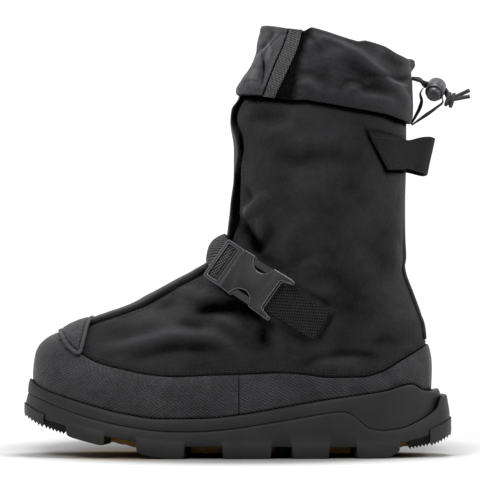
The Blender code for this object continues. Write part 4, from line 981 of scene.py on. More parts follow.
def wall_sheet(name, turn, level, low, high, material, tone=None):
    """Closed sheet between two distances out from the upper's wall."""
    return sheet_solid(name, wall(turn, level, low), wall(turn, level, high), material, tone)


def border(count, length, radius):
    """Shares from 0 to 1 with close steps at both ends, and a rounding from 0 to 1 for each."""
    lip = radius / length
    steps = np.array([0.0, 0.06, 0.25, 0.55]) * lip
    shares = np.concatenate([steps, np.linspace(lip, 1 - lip, count), 1 - steps[::-1]])
    depth = np.clip(np.minimum(shares, 1 - shares) / lip, 0, 1)
    return shares, np.sqrt(1 - (1 - depth) ** 2)


def rounded_grid(rows, columns):
    """Rounding of a sheet on all four edges, from that of its rows and columns."""
    return np.minimum(rows[:, None], columns[None, :])


def applied(thing):
    """Turn the shape that an object's modifiers make into its own mesh."""
    bpy.context.view_layer.update()
    graph = bpy.context.evaluated_depsgraph_get()
    mesh = bpy.data.meshes.new_from_object(thing.evaluated_get(graph))
    thing.modifiers.clear()
    thing.data = mesh
    return thing


def from_bmesh(name, mesh, material, angle=40):
    """Object from a bmesh in millimetres."""
    bmesh.ops.recalc_face_normals(mesh, faces=mesh.faces)
    bmesh.ops.scale(mesh, vec=(MM, MM, MM), verts=mesh.verts)
    data = bpy.data.meshes.new(name)
    mesh.to_mesh(data)
    mesh.free()
    shade(data, angle)
    data.materials.append(material)
    return link(bpy.data.objects.new(name, data))


def soften(mesh, edges, width, segments):
    """Round off some edges of a bmesh."""
    bmesh.ops.bevel(
        mesh, geom=edges, offset=width, offset_type="OFFSET", segments=segments, profile=0.5,
        affect="EDGES", clamp_overlap=True,
    )


def sharp_edges(mesh, angle):
    """Edges of a bmesh whose faces meet at more than an angle."""
    mesh.normal_update()
    found = []
    for edge in mesh.edges:
        if len(edge.link_faces) == 2 and edge.calc_face_angle(0) > math.radians(angle):
            found.append(edge)
    return found


def dress(piece, slot, *nodes, body="boot"):
    """Let a piece ride on its body and stand for its solids."""
    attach(piece, body)
    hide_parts(*nodes)
    return piece


# Materials
Tone = namedtuple("Tone", "dark light size creased", defaults=(False,))


def node(tree, kind, inputs=None, **settings):
    """Add a shader node."""
    made = tree.nodes.new("ShaderNode" + kind)
    for name, value in settings.items():
        setattr(made, name, value)
    for name, value in (inputs or {}).items():
        if isinstance(value, bpy.types.NodeSocket):
            tree.links.new(value, made.inputs[name])
        else:
            made.inputs[name].default_value = value
    return made


def plain(name, roughness, **extra):
    """Principled material with its roughness and other values set."""
    material = bpy.data.materials.new(name)
    material.use_nodes = True
    shader = material.node_tree.nodes["Principled BSDF"]
    shader.inputs["Roughness"].default_value = roughness
    for socket, value in extra.items():
        shader.inputs[socket.replace("_", " ")].default_value = value
    return material


def colour_ramp(tree, factor, stops):
    """Colours along a factor; each stop is a place on it and a colour."""
    ramp = node(tree, "ValToRGB", {"Fac": factor})
    marks = ramp.color_ramp.elements
    while len(marks) < len(stops):
        marks.new(1.0)
    for mark, (place, colour) in zip(marks, stops):
        mark.position = place
        mark.color = (*colour, 1)
    return ramp.outputs["Color"]


def paint(material, colour):
    """Give a material its colour."""
    tree = material.node_tree
    tree.links.new(colour, tree.nodes["Principled BSDF"].inputs["Base Color"])
    return material


def surface(name, tone, roughness, **extra):
    """Material whose colour drifts between two tones, and where asked takes the painted light and shade of
    the cloth's tone, which also dims its gloss where the tone is dark.
    """
    material = plain(name, roughness, **extra)
    tree = material.node_tree
    drift = speckle(tree, tone.size, 4.0)
    places = (0.3, 0.7)
    if tone.creased:
        places = (0.0, 1.0)
        painted_shading_tone = node(tree, "Attribute", attribute_name="tone").outputs["Fac"]
        drift = crossed(tree, crossed(tree, drift, 0.5, "SUBTRACT"), 0.6, "MULTIPLY")
        drift = crossed(tree, drift, painted_shading_tone, "ADD")
        # Painted shade on the gloss as well: less specular where the tone is dark
        gloss = tree.nodes["Principled BSDF"].inputs["Specular IOR Level"]
        tree.links.new(crossed(tree, painted_shading_tone, 2 * gloss.default_value, "MULTIPLY"), gloss)
    return paint(material, colour_ramp(tree, drift, list(zip(places, (tone.dark, tone.light)))))


def cloth_map(tree):
    """The cloth map, in millimetres."""
    return node(tree, "UVMap", uv_map="cloth").outputs["UV"]


def stripes(tree, period, angle, waver=0.0):
    """Soft ridges across the cloth map, a little uneven where asked."""
    turned = node(
        tree, "Mapping", {"Vector": cloth_map(tree), "Rotation": (0, 0, math.radians(angle))}
    )
    wave = node(
        tree, "TexWave",
        {"Vector": turned.outputs["Vector"], "Scale": math.pi / 10 / period, "Distortion": waver},
        wave_type="BANDS", bands_direction="X", wave_profile="SIN",
    )
    return wave.outputs["Fac"]


def crossed(tree, first, second, how):
    """Join two heights."""
    return node(tree, "Math", {0: first, 1: second}, operation=how).outputs["Value"]


def speckle(tree, size, detail=3.0):
    """Fine noise in the part's own space."""
    place = node(tree, "TexCoord").outputs["Object"]
    made = node(tree, "TexNoise", {"Vector": place, "Scale": 1 / (size * MM), "Detail": detail})
    return made.outputs["Fac"]


def crinkle(tree, size):
    """Thin raised creases that wander over the cloth."""
    place = node(tree, "TexCoord").outputs["Object"]
    made = node(
        tree, "TexNoise", {"Vector": place, "Scale": 1 / (size * MM), "Detail": 3.0, "Distortion": 0.6},
        noise_type="RIDGED_MULTIFRACTAL",
    )
    return made.outputs["Fac"]


def pebbles(tree, size):
    """Close rounded cells on the cloth map."""
    cells = node(
        tree, "TexVoronoi", {"Vector": cloth_map(tree), "Scale": 1 / size, "Randomness": 0.75},
        feature="DISTANCE_TO_EDGE",
    )
    return node(tree, "Math", {0: cells.outputs["Distance"], 1: 0.3}, operation="MINIMUM").outputs["Value"]


def shade_by_height(material, height, share, middle):
    """Painted highlight and shade from a height: lighten the colour where it stands over its middle, and
    darken it below.
    """
    tree = material.node_tree
    ramp = next(item for item in tree.nodes if item.bl_idname == "ShaderNodeValToRGB")
    drift = ramp.inputs["Fac"].links[0].from_socket
    raised = crossed(tree, crossed(tree, height, middle, "SUBTRACT"), share, "MULTIPLY")
    tree.links.new(crossed(tree, raised, drift, "ADD"), ramp.inputs["Fac"])


def raise_bumps(material, layers):
    """Bump from several heights; each layer is a height and its depth in millimetres."""
    tree = material.node_tree
    normal = None
    for height, depth in layers:
        inputs = {"Height": height, "Distance": depth * MM, "Strength": 1.0}
        if normal:
            inputs["Normal"] = normal
        normal = node(tree, "Bump", inputs).outputs["Normal"]
    tree.links.new(normal, tree.nodes["Principled BSDF"].inputs["Normal"])
    return material


def grey(value, tint=1.12):
    """A near-black tone, a little blue."""
    return (value, value, value * tint)


def grained(name, tone, roughness, size, depth, **extra):
    """Material with one fine grain."""
    made = surface(name, tone, roughness, **extra)
    return raise_bumps(made, [(speckle(made.node_tree, size), depth)])


def nylon(name, level, weave_depth, shine=0.2):
    """Woven nylon with a fine square weave and soft rumples, and painted shade in its creases."""
    made = surface(name, Tone(grey(0.0008), grey(2 * level), 2.2, True), 0.58, Specular_IOR_Level=shine)
    tree = made.node_tree
    weave = crossed(tree, stripes(tree, 0.9, 0), stripes(tree, 0.9, 90), "MULTIPLY")
    rumples = [(crinkle(tree, 26), 0.5), (speckle(tree, 5.0), 0.5), (speckle(tree, 2.2), 0.35)]
    return raise_bumps(made, [(weave, weave_depth)] + rumples)


def rand_stuff():
    """Rubberised fabric with a diamond grain."""
    made = surface("rand_coating", Tone(grey(0.001), grey(0.036), 4, True), 0.5, Specular_IOR_Level=0.3)
    tree = made.node_tree
    grain = crossed(tree, stripes(tree, 1.9, 56, 1.2), stripes(tree, 1.9, -56, 1.2), "MULTIPLY")
    # Painted shade in the grain's hollows, lighter on its tops
    shade_by_height(made, grain, 0.5, 0.25)
    return raise_bumps(made, [(grain, 0.38), (pebbles(tree, 1.7), 0.3), (speckle(tree, 14), 1.0)])


def patch_stuff():
    """Coated toe patch with a fine pebble grain."""
    made = surface("patch_coating", Tone(grey(0.001), grey(0.05), 3, True), 0.55, Specular_IOR_Level=0.3)
    tree = made.node_tree
    grain = pebbles(tree, 1.7)
    # Painted shade in the pebbles' hollows, lighter on their tops
    shade_by_height(made, grain, 2.0, 0.15)
    return raise_bumps(made, [(grain, 0.7), (speckle(tree, 0.9), 0.12)])


def rubber_stuff():
    """Moulded sole rubber, matt with a faint bloom."""
    tone = Tone(grey(0.015, 1.02), grey(0.02, 1.02), 20)
    made = surface("sole_rubber", tone, 0.56, Specular_IOR_Level=0.25)
    tree = made.node_tree
    return raise_bumps(made, [(speckle(tree, 0.7), 0.07), (speckle(tree, 9.0), 0.2)])


def amber_stuff():
    """Amber grip rubber."""
    return grained("amber_rubber", Tone((0.40, 0.20, 0.02), (0.55, 0.31, 0.04), 12), 0.55, 1.1, 0.2)


def webbing_stuff(name, level, period):
    """Webbing in a small twill, light on its threads and dark between them, a painted highlight and shade of
    the weave.
    """
    made = plain(name, 0.7, Specular_IOR_Level=0.2)
    tree = made.node_tree
    twill = crossed(tree, stripes(tree, period, 62, 0.8), stripes(tree, period * 0.8, -20, 0.8), "MULTIPLY")
    threads = crossed(tree, twill, crossed(tree, speckle(tree, 1.0), 0.5, "MULTIPLY"), "ADD")
    stops = [(0.3, grey(level * 0.05, 1.0)), (0.85, grey(level * 5.5, 1.0))]
    paint(made, colour_ramp(tree, threads, stops))
    return raise_bumps(made, [(twill, 0.7), (speckle(tree, 0.8), 0.15)])


def fuzz_stuff():
    """Black looped pile."""
    return grained("loop_pile", Tone(grey(0.0005), grey(0.006), 0.9), 0.9, 0.7, 0.8, Specular_IOR_Level=0.05)


def plastic_stuff(name, level, roughness):
    """Moulded satin plastic."""
    tone = Tone(grey(level * 0.92), grey(level * 1.08), 7)
    return grained(name, tone, roughness, 0.5, 0.025, Specular_IOR_Level=0.2)


def lock_stuff():
    """Bright mottled plastic of the cord lock."""
    return grained("lock_plastic", Tone(grey(0.02), grey(0.095), 1.5), 0.3, 0.6, 0.05, Specular_IOR_Level=0.4)


def rim_highlight_stuff():
    """Lighter, glossier plastic for the buckle's edges: a painted highlight as well as real gloss."""
    return grained("rim_plastic_painted_highlight", Tone(grey(0.07), grey(0.10), 7), 0.25, 0.5, 0.02, Specular_IOR_Level=0.9)


def cord_stuff():
    """Braided cord."""
    return grained("cord_braid", Tone((0.018, 0.017, 0.017), (0.05, 0.047, 0.047), 0.9), 0.75, 0.8, 0.35)


def thread_stuff():
    """Sewing thread."""
    return grained("thread", Tone((0.003, 0.003, 0.003), (0.007, 0.007, 0.008), 1.0), 0.7, 0.4, 0.1)


def lining_stuff():
    """Knitted lining on the insole."""
    made = surface("lining", Tone(grey(0.05), grey(0.075), 6), 0.9, Sheen_Weight=0.2)
    tree = made.node_tree
    knit = crossed(tree, stripes(tree, 1.6, 30), stripes(tree, 1.6, -30), "MULTIPLY")
    return raise_bumps(made, [(knit, 0.4)])


def floor_patch(tree, patch):
    """Colour of the floor by the distance from the middle of one painted oval: a painted shadow, and for the
    amber one a painted glow.
    """
    place = node(tree, "TexCoord").outputs["Object"]
    shrunk = node(
        tree, "Mapping",
        {"Vector": place, "Location": [value * MM for value in patch.middle] + [0],
         "Scale": [value * MM for value in patch.reach] + [1]},
        vector_type="TEXTURE",
    )
    away = node(tree, "VectorMath", {0: shrunk.outputs["Vector"]}, operation="LENGTH").outputs["Value"]
    return colour_ramp(tree, crossed(tree, away, 0.5, "MULTIPLY"), patch.stops)


def floor_stuff():
    """White floor with painted shade where the boot shuts the light out, and a faint painted amber glow under
    the forefoot.
    """
    material = plain("studio_floor", 0.9, Specular_IOR_Level=0.0)
    tree = material.node_tree
    colour = floor_patch(tree, PAINTED_FLOOR_PATCHES[0])
    for patch in PAINTED_FLOOR_PATCHES[1:]:
        both = node(tree, "VectorMath", {0: colour, 1: floor_patch(tree, patch)}, operation="MULTIPLY")
        colour = both.outputs["Vector"]
    return paint(material, colour)


# Upper
def upper_turns(level):
    """Turns round the boot at each level, close together at the panels' edges, and the throat's columns."""
    inside = np.linspace(0, 0.985, VALLEY_COLUMNS)
    outside = np.linspace(0, 1, SIDE_COLUMNS)

    def spread(edge):
        return np.concatenate([edge * inside, edge + (0.5 - edge) * outside], axis=1)

    near = spread(front_turn(-PANEL["outer"](level), level)[:, None])
    far = spread(-front_turn(PANEL["inner"](level), level)[:, None])
    far = 1 - far[:, -2:0:-1]
    valley = np.zeros(near.shape[1])
    valley[:VALLEY_COLUMNS] = 1
    valley = np.concatenate([valley, valley[-2:0:-1]])
    return np.concatenate([near, far], axis=1), valley


def build_upper(stuff):
    """Cloth wall of the boot, with folds, and a sunk throat between the two panel edges."""
    level = np.linspace(UPPER_LOW, UPPER_TOP, WALL_ROWS)
    turn, valley = upper_turns(level)
    level = np.broadcast_to(level[:, None], turn.shape)
    depth = PANEL["depth"](level)
    base = wall_point(turn, level)
    relief = upper_relief(base)
    across = base[..., 1] - toe_swing(base[..., 0])
    past = np.abs(across) - np.where(across < 0, PANEL["outer"](level), PANEL["inner"](level))
    front = base[..., 0] < PANELS_BACK
    hem = front * bell(past, 0, 5.0) * ease(depth, 0, 3)
    relief = relief * (1 - 0.6 * hem) + 0.5 * hem
    tone = upper_tone(base, relief, level)
    # Painted shade: the cloth darkens toward the panels' edges beside the throat, and the throat's valley is
    # painted dark
    tone = np.where(front & (depth > 1), tone * (0.25 + 0.75 * ease(past, 0.2, 2.6)), tone)
    tone = np.where(valley > 0, 1 - ease(depth, 0, 2), tone)
    relief = np.where(valley > 0, -depth, relief)
    outside = wall(turn, level, relief)
    picked = np.arange(WALL_ROWS - 1, -1, -5)
    lowest = np.stack([relief[max(0, k - 6) : k + 7].min(axis=0) for k in picked])
    inside = wall(turn[picked], level[picked], lowest - WALL)
    tone = np.concatenate([tone, np.full(inside.shape[:2], 0.3)])
    piece = ring_solid("upper_cloth", np.concatenate([outside, inside]), stuff["nylon"], tone)
    return dress(piece, "nylon", "upper")


def build_gusset(stuff):
    """Folded strip down the front: a ridge between two tucked pleats."""
    level = np.linspace(GUSSET_LOW, GUSSET_TOP, GUSSET_ROWS)[:, None]
    shares = np.linspace(-1, 1, GUSSET_COLUMNS)[None, :]
    edge = np.where(shares < 0, PANEL["outer"](level), PANEL["inner"](level)) - 0.8
    ridge = np.where(shares < 0, RIDGE["outer"](level), RIDGE["inner"](level))
    lateral = shares * edge
    past = (np.abs(lateral) - ridge) / np.maximum(edge - ridge, 1.5)
    drop = PANEL["depth"](level) - 1.2
    out = RIDGE["out"](level) * (1 - ease(past, -0.25, 0.3)) - drop * ease(past, -0.1, 0.4)
    out += 1.6 * bell(past, 0.62, 0.14)
    turn = front_turn(lateral, level)
    level = np.broadcast_to(level, turn.shape)
    spots = wall_point(turn, level)
    out = out + lumps(spots, GUSSET_LUMPS)
    pressed = 1 - ease(np.abs(strap_place(spots)[1]), 11, 20)
    out = np.minimum(out, 2.2 - 0.3 * pressed)
    tucked = ease(level, 255, 264)
    out = out * (1 - tucked) + np.minimum(out, -0.6) * tucked
    # Painted shade: the ridge is lighter and the tucked pleats beside it are painted dark; the noise is
    # random
    flank = past - 0.15 * (1 - ease(level, 140, 168))
    tone = 0.66 * (1 - ease(flank, -0.3, 0.1)) + 0.12 * cloth_noise(spots, 7, 54)
    piece = wall_sheet("gusset_cloth", turn, level, out - 1.1, out, stuff["nylon"], tone)
    return dress(piece, "nylon", "gusset")


# Rand, patch and tape
SEAM_LEVELS = np.linspace(RAND_LOW - 2, 120, 60)
SEAM_TURNS = turn_at(SEAM_LEVELS, lambda x, z: x - RAND_SEAM_X, 0.02, 0.48)


def toe_turn(share, level):
    """Turn on the toe rand: from the inner seam round the toe to the outer seam."""
    return (2 * share - 1) * np.interp(level, SEAM_LEVELS, SEAM_TURNS)


def heel_turn(share, level):
    """Turn on the heel rand: from the outer seam round the heel to the inner seam."""
    seam = np.interp(level, SEAM_LEVELS, SEAM_TURNS)
    return seam + (1 - 2 * seam) * share


def rand_top(shares, turn_of, lift):
    """Level of the rand's top line, or of a line above it."""

    def passed(level):
        spot = wall_point(turn_of(shares, level), level)
        return spot[..., 2] > RAND_LINE(spot[..., 0]) + lift

    return halving(passed, np.full(shares.shape, RAND_LOW), np.full(shares.shape, 116.0))


def rand_tone(points):
    """How light the rand is: painted shade along the sole and a painted shadow along the toe patch's edge,
    drifting at random between.
    """
    x, z = points[..., 0], points[..., 2]
    tone = 0.5 + lumps(points, RAND_MOTTLE)
    tone = tone * ease(z - FEATHER["rim"](x), 0.2, 2.6)
    beside_patch = bell(z - PATCH_LINE(x), -0.6, 1.1) * (1 - ease(x, -117, -114))
    return tone * (1 - 0.8 * beside_patch)


def build_rand(name, node_name, turn_of, stuff):
    """Half of the textured band round the foot."""
    shares, side_round = border(230, length=380, radius=0.8)
    rows, row_round = border(26, length=42, radius=1.0)
    top = rand_top(shares, turn_of, 0.0)
    level = RAND_LOW + (top - RAND_LOW)[None, :] * rows[:, None]
    turn = turn_of(shares[None, :], level)
    spots = wall_point(turn, level)
    swell = lumps(spots, RAND_LUMPS) + 0.5 * np.sin(math.pi * rows)[:, None]
    thick = RAND_THICK * rounded_grid(row_round, side_round)
    lift = swell * row_round[:, None] * side_round[None, :]
    piece = wall_sheet(name, turn, level, GAP * 0.3, GAP + thick + lift, stuff["rand"], rand_tone(spots))
    return dress(piece, "coated_fabric", node_name)


def patch_reach(turn):
    """Level of the toe patch's lower and rear edge at each turn; past its tip they swap over."""
    low = level_at(turn, lambda x, z: z - PATCH_LINE(x), *PATCH_LEVELS)
    high = level_at(turn, lambda x, z: x - PATCH_BACK(z), *PATCH_LEVELS)
    return low, high


def patch_tip():
    """Turn of the pointed side corner of the toe patch."""
    turns = np.linspace(0.02, 0.24, 300)
    low, high = patch_reach(turns)
    return float(turns[np.argmax(high < low + 0.2)])


def build_toe_patch(stuff):
    """Leaf-shaped patch over the toe with a raised double border."""
    tip = patch_tip()
    turn = np.sin(np.linspace(-1, 1, 121) * math.pi / 2) * tip
    low, high = patch_reach(turn)
    high = np.maximum(high, low + 0.05)
    rows = border(44, length=45, radius=1.2)[0]
    level = low[None, :] + (high - low)[None, :] * rows[:, None]
    turn = np.broadcast_to(turn, level.shape)
    spots = wall_point(turn, level)
    rim = np.concatenate([spots[0], spots[-1]])
    flat = spots.reshape(-1, 3)
    away = np.full(len(flat), np.inf)
    for spot in rim:
        away = np.minimum(away, np.linalg.norm(flat - spot, axis=1))
    away = away.reshape(level.shape)
    rise = np.sqrt(1 - (1 - np.clip(away, 0, 1)) ** 2) * PATCH_THICK
    rise -= 0.75 * bell(away, PATCH_GROOVE, 0.55)
    rise += 0.5 * ease(away, 4, 12) + 0.15 * cloth_noise(spots, 8, 15) * ease(away, 3, 6)
    base = 2 * GAP + RAND_THICK
    # Painted light and shade: a lighter band on the raised border, a painted highlight, and painted shade in
    # its groove
    tone = 0.55 + 0.15 * bell(away, PATCH_GROOVE / 2, 1.2) - 0.3 * bell(away, PATCH_GROOVE, 0.8)
    tone = tone - 0.02 * ease(away, 4, 6)
    piece = wall_sheet("toe_patch_coating", turn, level, base - 0.6, base + rise, stuff["patch"], tone)
    return dress(piece, "coated_fabric", "toe_patch")


def build_back_tape(stuff):
    """Raised tape up the back with a rolled edge on each side, sunk into the cloth toward its top."""
    rows, row_round = border(110, length=130, radius=1.0)
    shares, side_round = border(26, length=2 * TAPE_HALF, radius=0.9)
    level = (TAPE_LOW + TAPE_LENGTH * rows)[:, None]
    lateral = ((2 * shares - 1) * TAPE_HALF)[None, :]
    turn = back_turn(lateral, level)
    level = np.broadcast_to(level, turn.shape)
    spots = wall_point(turn, level)
    rolled = bell(np.abs(lateral) - TAPE_HALF, -1.5, 1.1)
    thick = TAPE_THICK * 0.7 + 0.9 * rolled + 0.15 * cloth_noise(spots, 9, 18)
    thick = thick * rounded_grid(row_round, side_round)
    thick = thick * (1 - 0.85 * ease(rows, 0.5, 1.0))[:, None]
    above_rand = ease(spots[..., 2] - RAND_LINE(spots[..., 0]), -2, 3)
    base = GAP + (RAND_THICK + 0.7) * (1 - above_rand) - 0.9 * ease(rows, 0.45, 0.75)[:, None]
    # Painted highlight on the rolled edges; the noise is random
    tone = 0.5 + 0.5 * rolled + 0.15 * cloth_noise(spots, 4, 60)
    piece = wall_sheet("back_tape_cloth", turn, level, base - 0.2, base + thick, stuff["nylon"], tone)
    return dress(piece, "nylon", "back_tape")


# Cuff and closure
def side_curve(spots):
    """Smooth side line: x for each z."""
    return columns(spots, "z")["x"]


def under_closure(points):
    """1 where the tab and the loop patch lie on the cuff."""
    line = side_curve(LOOP_REAR)(points[..., 2])
    return 1 - ease(points[..., 0] - line, -1, 5)


def cuff_relief(points):
    """Folds and puffs of the cuff's cloth."""
    height = fold_height(points, CUFF_FOLDS) + lumps(points, CUFF_LUMPS)
    covered = under_closure(points)
    return np.maximum(height, -2.6) * (1 - covered) - 0.2 * covered


def cuff_tone(points, relief):
    """How light the cuff's cloth is: painted shade, dark in its creases and beside the closure, and lighter
    on its puffs; the mottling is random.
    """
    tone = 0.5 + relief / 7 + lumps(points, CUFF_MOTTLE)
    return tone * (1 - 0.8 * under_closure(points - np.array([3.0, 0, 0])))


def cuff_face(turn, level):
    """Distance from the wall to the middle of the cuff's cloth."""
    level = np.minimum(level, CUFF_TOP)
    return CUFF_OUT(level) + cuff_shift(turn, level)


def cuff_shift(turn, level):
    """How far the cuff leans at its front, and the flap at the back of its top edge."""
    ahead = np.minimum(np.abs(turn), np.abs(1 - turn))
    lean = CUFF_LEAN(level) * bell(ahead, 0, FRONT_SPAN)
    return lean + FLAP_REACH * bell(turn, FLAP_TURN, FLAP_SPAN) * ease(level, 305, 315)


def build_cuff(stuff):
    """Puffed band round the collar, turned over the upper's top edge and down inside."""
    turns = np.arange(CUFF_COLUMNS) / CUFF_COLUMNS
    half = CUFF_THICK / 2
    outside = [(CUFF_LOW + row.rise, row.sunk) for row in CUFF_HEM]
    outside += [(level, 0.0) for level in np.linspace(CUFF_LOW + HEM_ROLL, CUFF_TOP, CUFF_ROWS)]
    rows, tones = [], []
    for level, sunk in outside:
        spots = wall_point(turns, np.full(CUFF_COLUMNS, level))
        quiet = ease(level, CUFF_LOW, CUFF_LOW + 5) * (1 - ease(level, CUFF_TOP - 7, CUFF_TOP + 1))
        relief = cuff_relief(spots) * quiet
        rows.append(wall(turns, level, cuff_face(turns, level) + half + sunk + relief))
        tones.append(cuff_tone(spots, relief))
    over = [(CUFF_TOP, float(CUFF_OUT(CUFF_TOP)) + half)] + [tuple(row) for row in CUFF_TURNED]
    for level, out in list(smooth_route(over, 16)[1:]) + CUFF_UNDER:
        shifted = out + cuff_shift(turns, level)
        if level < 300:
            shifted = np.maximum(shifted, 0.3)
        rows.append(wall(turns, level, shifted))
        tones.append(np.full(CUFF_COLUMNS, 0.4))
    piece = ring_solid("cuff_cloth", np.stack(rows), stuff["cuff"], np.stack(tones))
    return dress(piece, "nylon", "cuff")


def edge_turn(edge, level, lift=0.0):
    """Turn at each level where a side line crosses the collar's outside."""
    line = side_curve(edge)

    def passed(turn):
        spot = wall(turn, level, cuff_face(turn, level) + CUFF_THICK / 2 + lift)
        return spot[..., 0] > line(spot[..., 2])

    return halving(passed, np.zeros(np.shape(level)), np.full(np.shape(level), 0.45))


def build_tab(stuff):
    """Front tab that wraps the collar, rumpled, with a rolled hem."""
    rows, row_round = border(60, length=52, radius=1.0)
    shares, side_round = border(150, length=120, radius=1.0)
    level = TAB_LOW + (TAB_TOP - TAB_LOW) * rows
    near = edge_turn(TAB_REAR, level)[:, None]
    turn = near * (2 * shares - 1)[None, :]
    level = np.broadcast_to(level[:, None], turn.shape)
    spots = wall_point(turn, level)
    seen = wall(turn, level, cuff_face(turn, level) + CUFF_THICK + TAB_THICK)
    rumple = fold_height(seen, TAB_FOLDS) + lumps(spots, TAB_LUMPS)
    hem = 0.35 * (bell(rows, 0.06, 0.03) + bell(rows, 0.94, 0.03))
    base = cuff_face(turn, level) + CUFF_THICK / 2 + GAP
    thick = (TAB_THICK + hem[:, None]) * rounded_grid(row_round, side_round)
    near_hook = 1 - ease(near - turn, 0.0, 0.05)
    out = base + thick + np.maximum(rumple, -0.9) * row_round[:, None] * (1 - near_hook)
    # Painted shade and highlight: darker in the rumples' hollows, lighter on their tops, with the painted
    # shades of the tab; the noise is random
    tone = 0.5 + rumple / 3.5 + 0.1 * cloth_noise(spots, 5, 57) + fold_height(seen, TAB_SHADES)
    # Painted shadow on the tab along the hook strip's edge
    hook = edge_turn(HOOK_FRONT, level[:, 0], TAB_THICK)[:, None]
    tone = tone * ease(hook - turn, 0.002, 0.007)
    piece = wall_sheet("closure_tab_cloth", turn, level, base - 0.15, out, stuff["tab"], tone)
    return dress(piece, "nylon", "closure_tab")


def build_strip(name, node_name, front, rear, lift, levels, material):
    """Flat tape on the collar between two side lines."""
    rows, row_round = border(60, length=50, radius=0.6)
    shares, side_round = border(14, length=9, radius=0.6)
    level = levels[0] + (levels[1] - levels[0]) * rows
    start = edge_turn(front, level, lift)[:, None]
    end = np.maximum(edge_turn(rear, level, lift)[:, None], start + 0.001)
    turn = start + (end - start) * shares[None, :]
    level = np.broadcast_to(level[:, None], turn.shape)
    base = cuff_face(turn, level) + CUFF_THICK / 2 + lift
    thick = STRIP_THICK * rounded_grid(row_round, side_round)
    piece = wall_sheet(name, turn, level, base - 0.1, base + thick, material)
    return dress(piece, "webbing", node_name)


# Straps
def strap_level(turn, across):
    """Level where the wall lies at a distance across the strap's slope."""

    def gauge(x, z):
        return (x - STRAP_MIDDLE.x) * ACROSS.x + (z - STRAP_MIDDLE.z) * ACROSS.z - across

    return level_at(turn, gauge, 40.0, 230.0)


def strap_edge(turns, across):
    """Route over the gusset at a distance across the strap's slope."""
    return wall(turns, strap_level(turns, across), GUSSET_THICK + 2 * GAP)


def near_turn():
    """Turn where the strap's middle line reaches the buckle."""
    turns = np.linspace(0.0, 0.25, 251)
    return float(np.interp(-STRAP_NEAR_Y, -strap_edge(turns, np.zeros(251))[:, 1], turns))


def build_strap(stuff):
    """Flat webbing that spans the crook of the instep, with soft selvedges."""
    end = near_turn()
    shares, end_round = border(150, length=150, radius=0.8)
    sides, side_round = border(26, length=WEBBING, radius=0.7)
    turns = STRAP_FAR_TURN + (end - STRAP_FAR_TURN) * shares
    rise = STRAP_RISE * np.clip(1 - turns / end, 0, 1)
    low = strap_edge(turns, rise - WEBBING / 2)
    high = strap_edge(turns, rise + WEBBING / 2)
    normals = unit(np.cross(np.gradient((low + high) / 2, axis=0), high - low))
    bow = STRAP_BOW * bell(turns, 0, 0.09) * ease(end - turns, 0, 0.05)
    inside = low[None] + (high - low)[None] * sides[:, None, None]
    inside = inside + normals[None] * (np.sin(math.pi * sides)[:, None] * bow)[..., None]
    rounding = 0.4 + (STRAP_THICK - 0.4) * rounded_grid(side_round, end_round)
    outside = inside + normals[None] * rounding[..., None]
    piece = sheet_solid("instep_strap_webbing", inside, outside, stuff["webbing"])
    return dress(piece, "webbing", "instep_strap")


def side_place(x, z):
    """Turn and level where the wall's outer side shows at x and z in the side view."""
    level = np.array(z, float)
    for _ in range(4):
        turn = turn_at(level, lambda spot_x, spot_z: spot_x - x, 0.0, 0.5)
        level = level + z - wall_point(turn, level)[..., 2]
    return turn, level


def anchor_place(run, across):
    """Turn and level of a spot on the anchor, by its distance along and across."""
    middle = Vector((STRAP_MIDDLE.x, 0, STRAP_MIDDLE.z)) - ACROSS * ANCHOR_DROP
    x = middle.x + ALONG.x * run + ACROSS.x * across
    z = middle.z + ALONG.z * run + ACROSS.z * across
    return side_place(x, z)


def build_anchor(stuff):
    """Sewn length of webbing behind the buckle."""
    shares, end_round = border(60, length=ANCHOR_END - ANCHOR_START, radius=0.8)
    sides, side_round = border(24, length=WEBBING, radius=0.7)
    run = ANCHOR_START + (ANCHOR_END - ANCHOR_START) * shares[None, :] + 0 * sides[:, None]
    turn, level = anchor_place(run, (sides[:, None] - 0.5) * WEBBING + 0 * run)
    rounding = 0.4 + (STRAP_THICK - 0.4) * rounded_grid(side_round, end_round)
    lift = GAP * 0.5 + ANCHOR_LIFT * (1 - ease(run, ANCHOR_START, ANCHOR_START + 12))
    piece = wall_sheet("strap_anchor_webbing", turn, level, lift, lift + rounding, stuff["anchor"])
    return dress(piece, "webbing", "strap_anchor")


# Buckle
def wall_reach(along, across, outward):
    """How far the wall stands out under the buckle, from the buckle's own middle."""
    turns, levels = np.meshgrid(np.linspace(0.0, 0.3, 61), np.linspace(100, 176, 61))
    spots = wall(turns, levels, np.zeros_like(turns)) - np.array(BUCKLE_MIDDLE)
    length = spots @ np.array(along)
    width = spots @ np.array(across)
    under = (np.abs(length) < BUCKLE_LENGTH / 2) & (np.abs(width) < BUCKLE_WIDTH / 2)
    return float((spots @ np.array(outward))[under].max())


def buckle_frame():
    """Place of the buckle on the outer side of the instep."""
    along = Vector((math.cos(BUCKLE_YAW) * ALONG.x, -math.sin(BUCKLE_YAW), ALONG.z)).normalized()
    outward = Vector((-math.sin(BUCKLE_YAW) * 0.6, -1, 0.25))
    outward = (outward - along * outward.dot(along)).normalized()
    across = outward.cross(along)
    turn = Matrix((along, across, outward)).transposed().to_4x4()
    base = BUCKLE_MIDDLE + outward * (wall_reach(along, across, outward) + BUCKLE_CLEAR)
    return Matrix.Translation(base * MM) @ turn


def join_rings(mesh, first, second):
    """Add quads between two rings of corners to a bmesh and return them."""
    made = []
    for k in range(len(first)):
        n = (k + 1) % len(first)
        made.append(mesh.faces.new((first[k], first[n], second[n], second[k])))
    return made


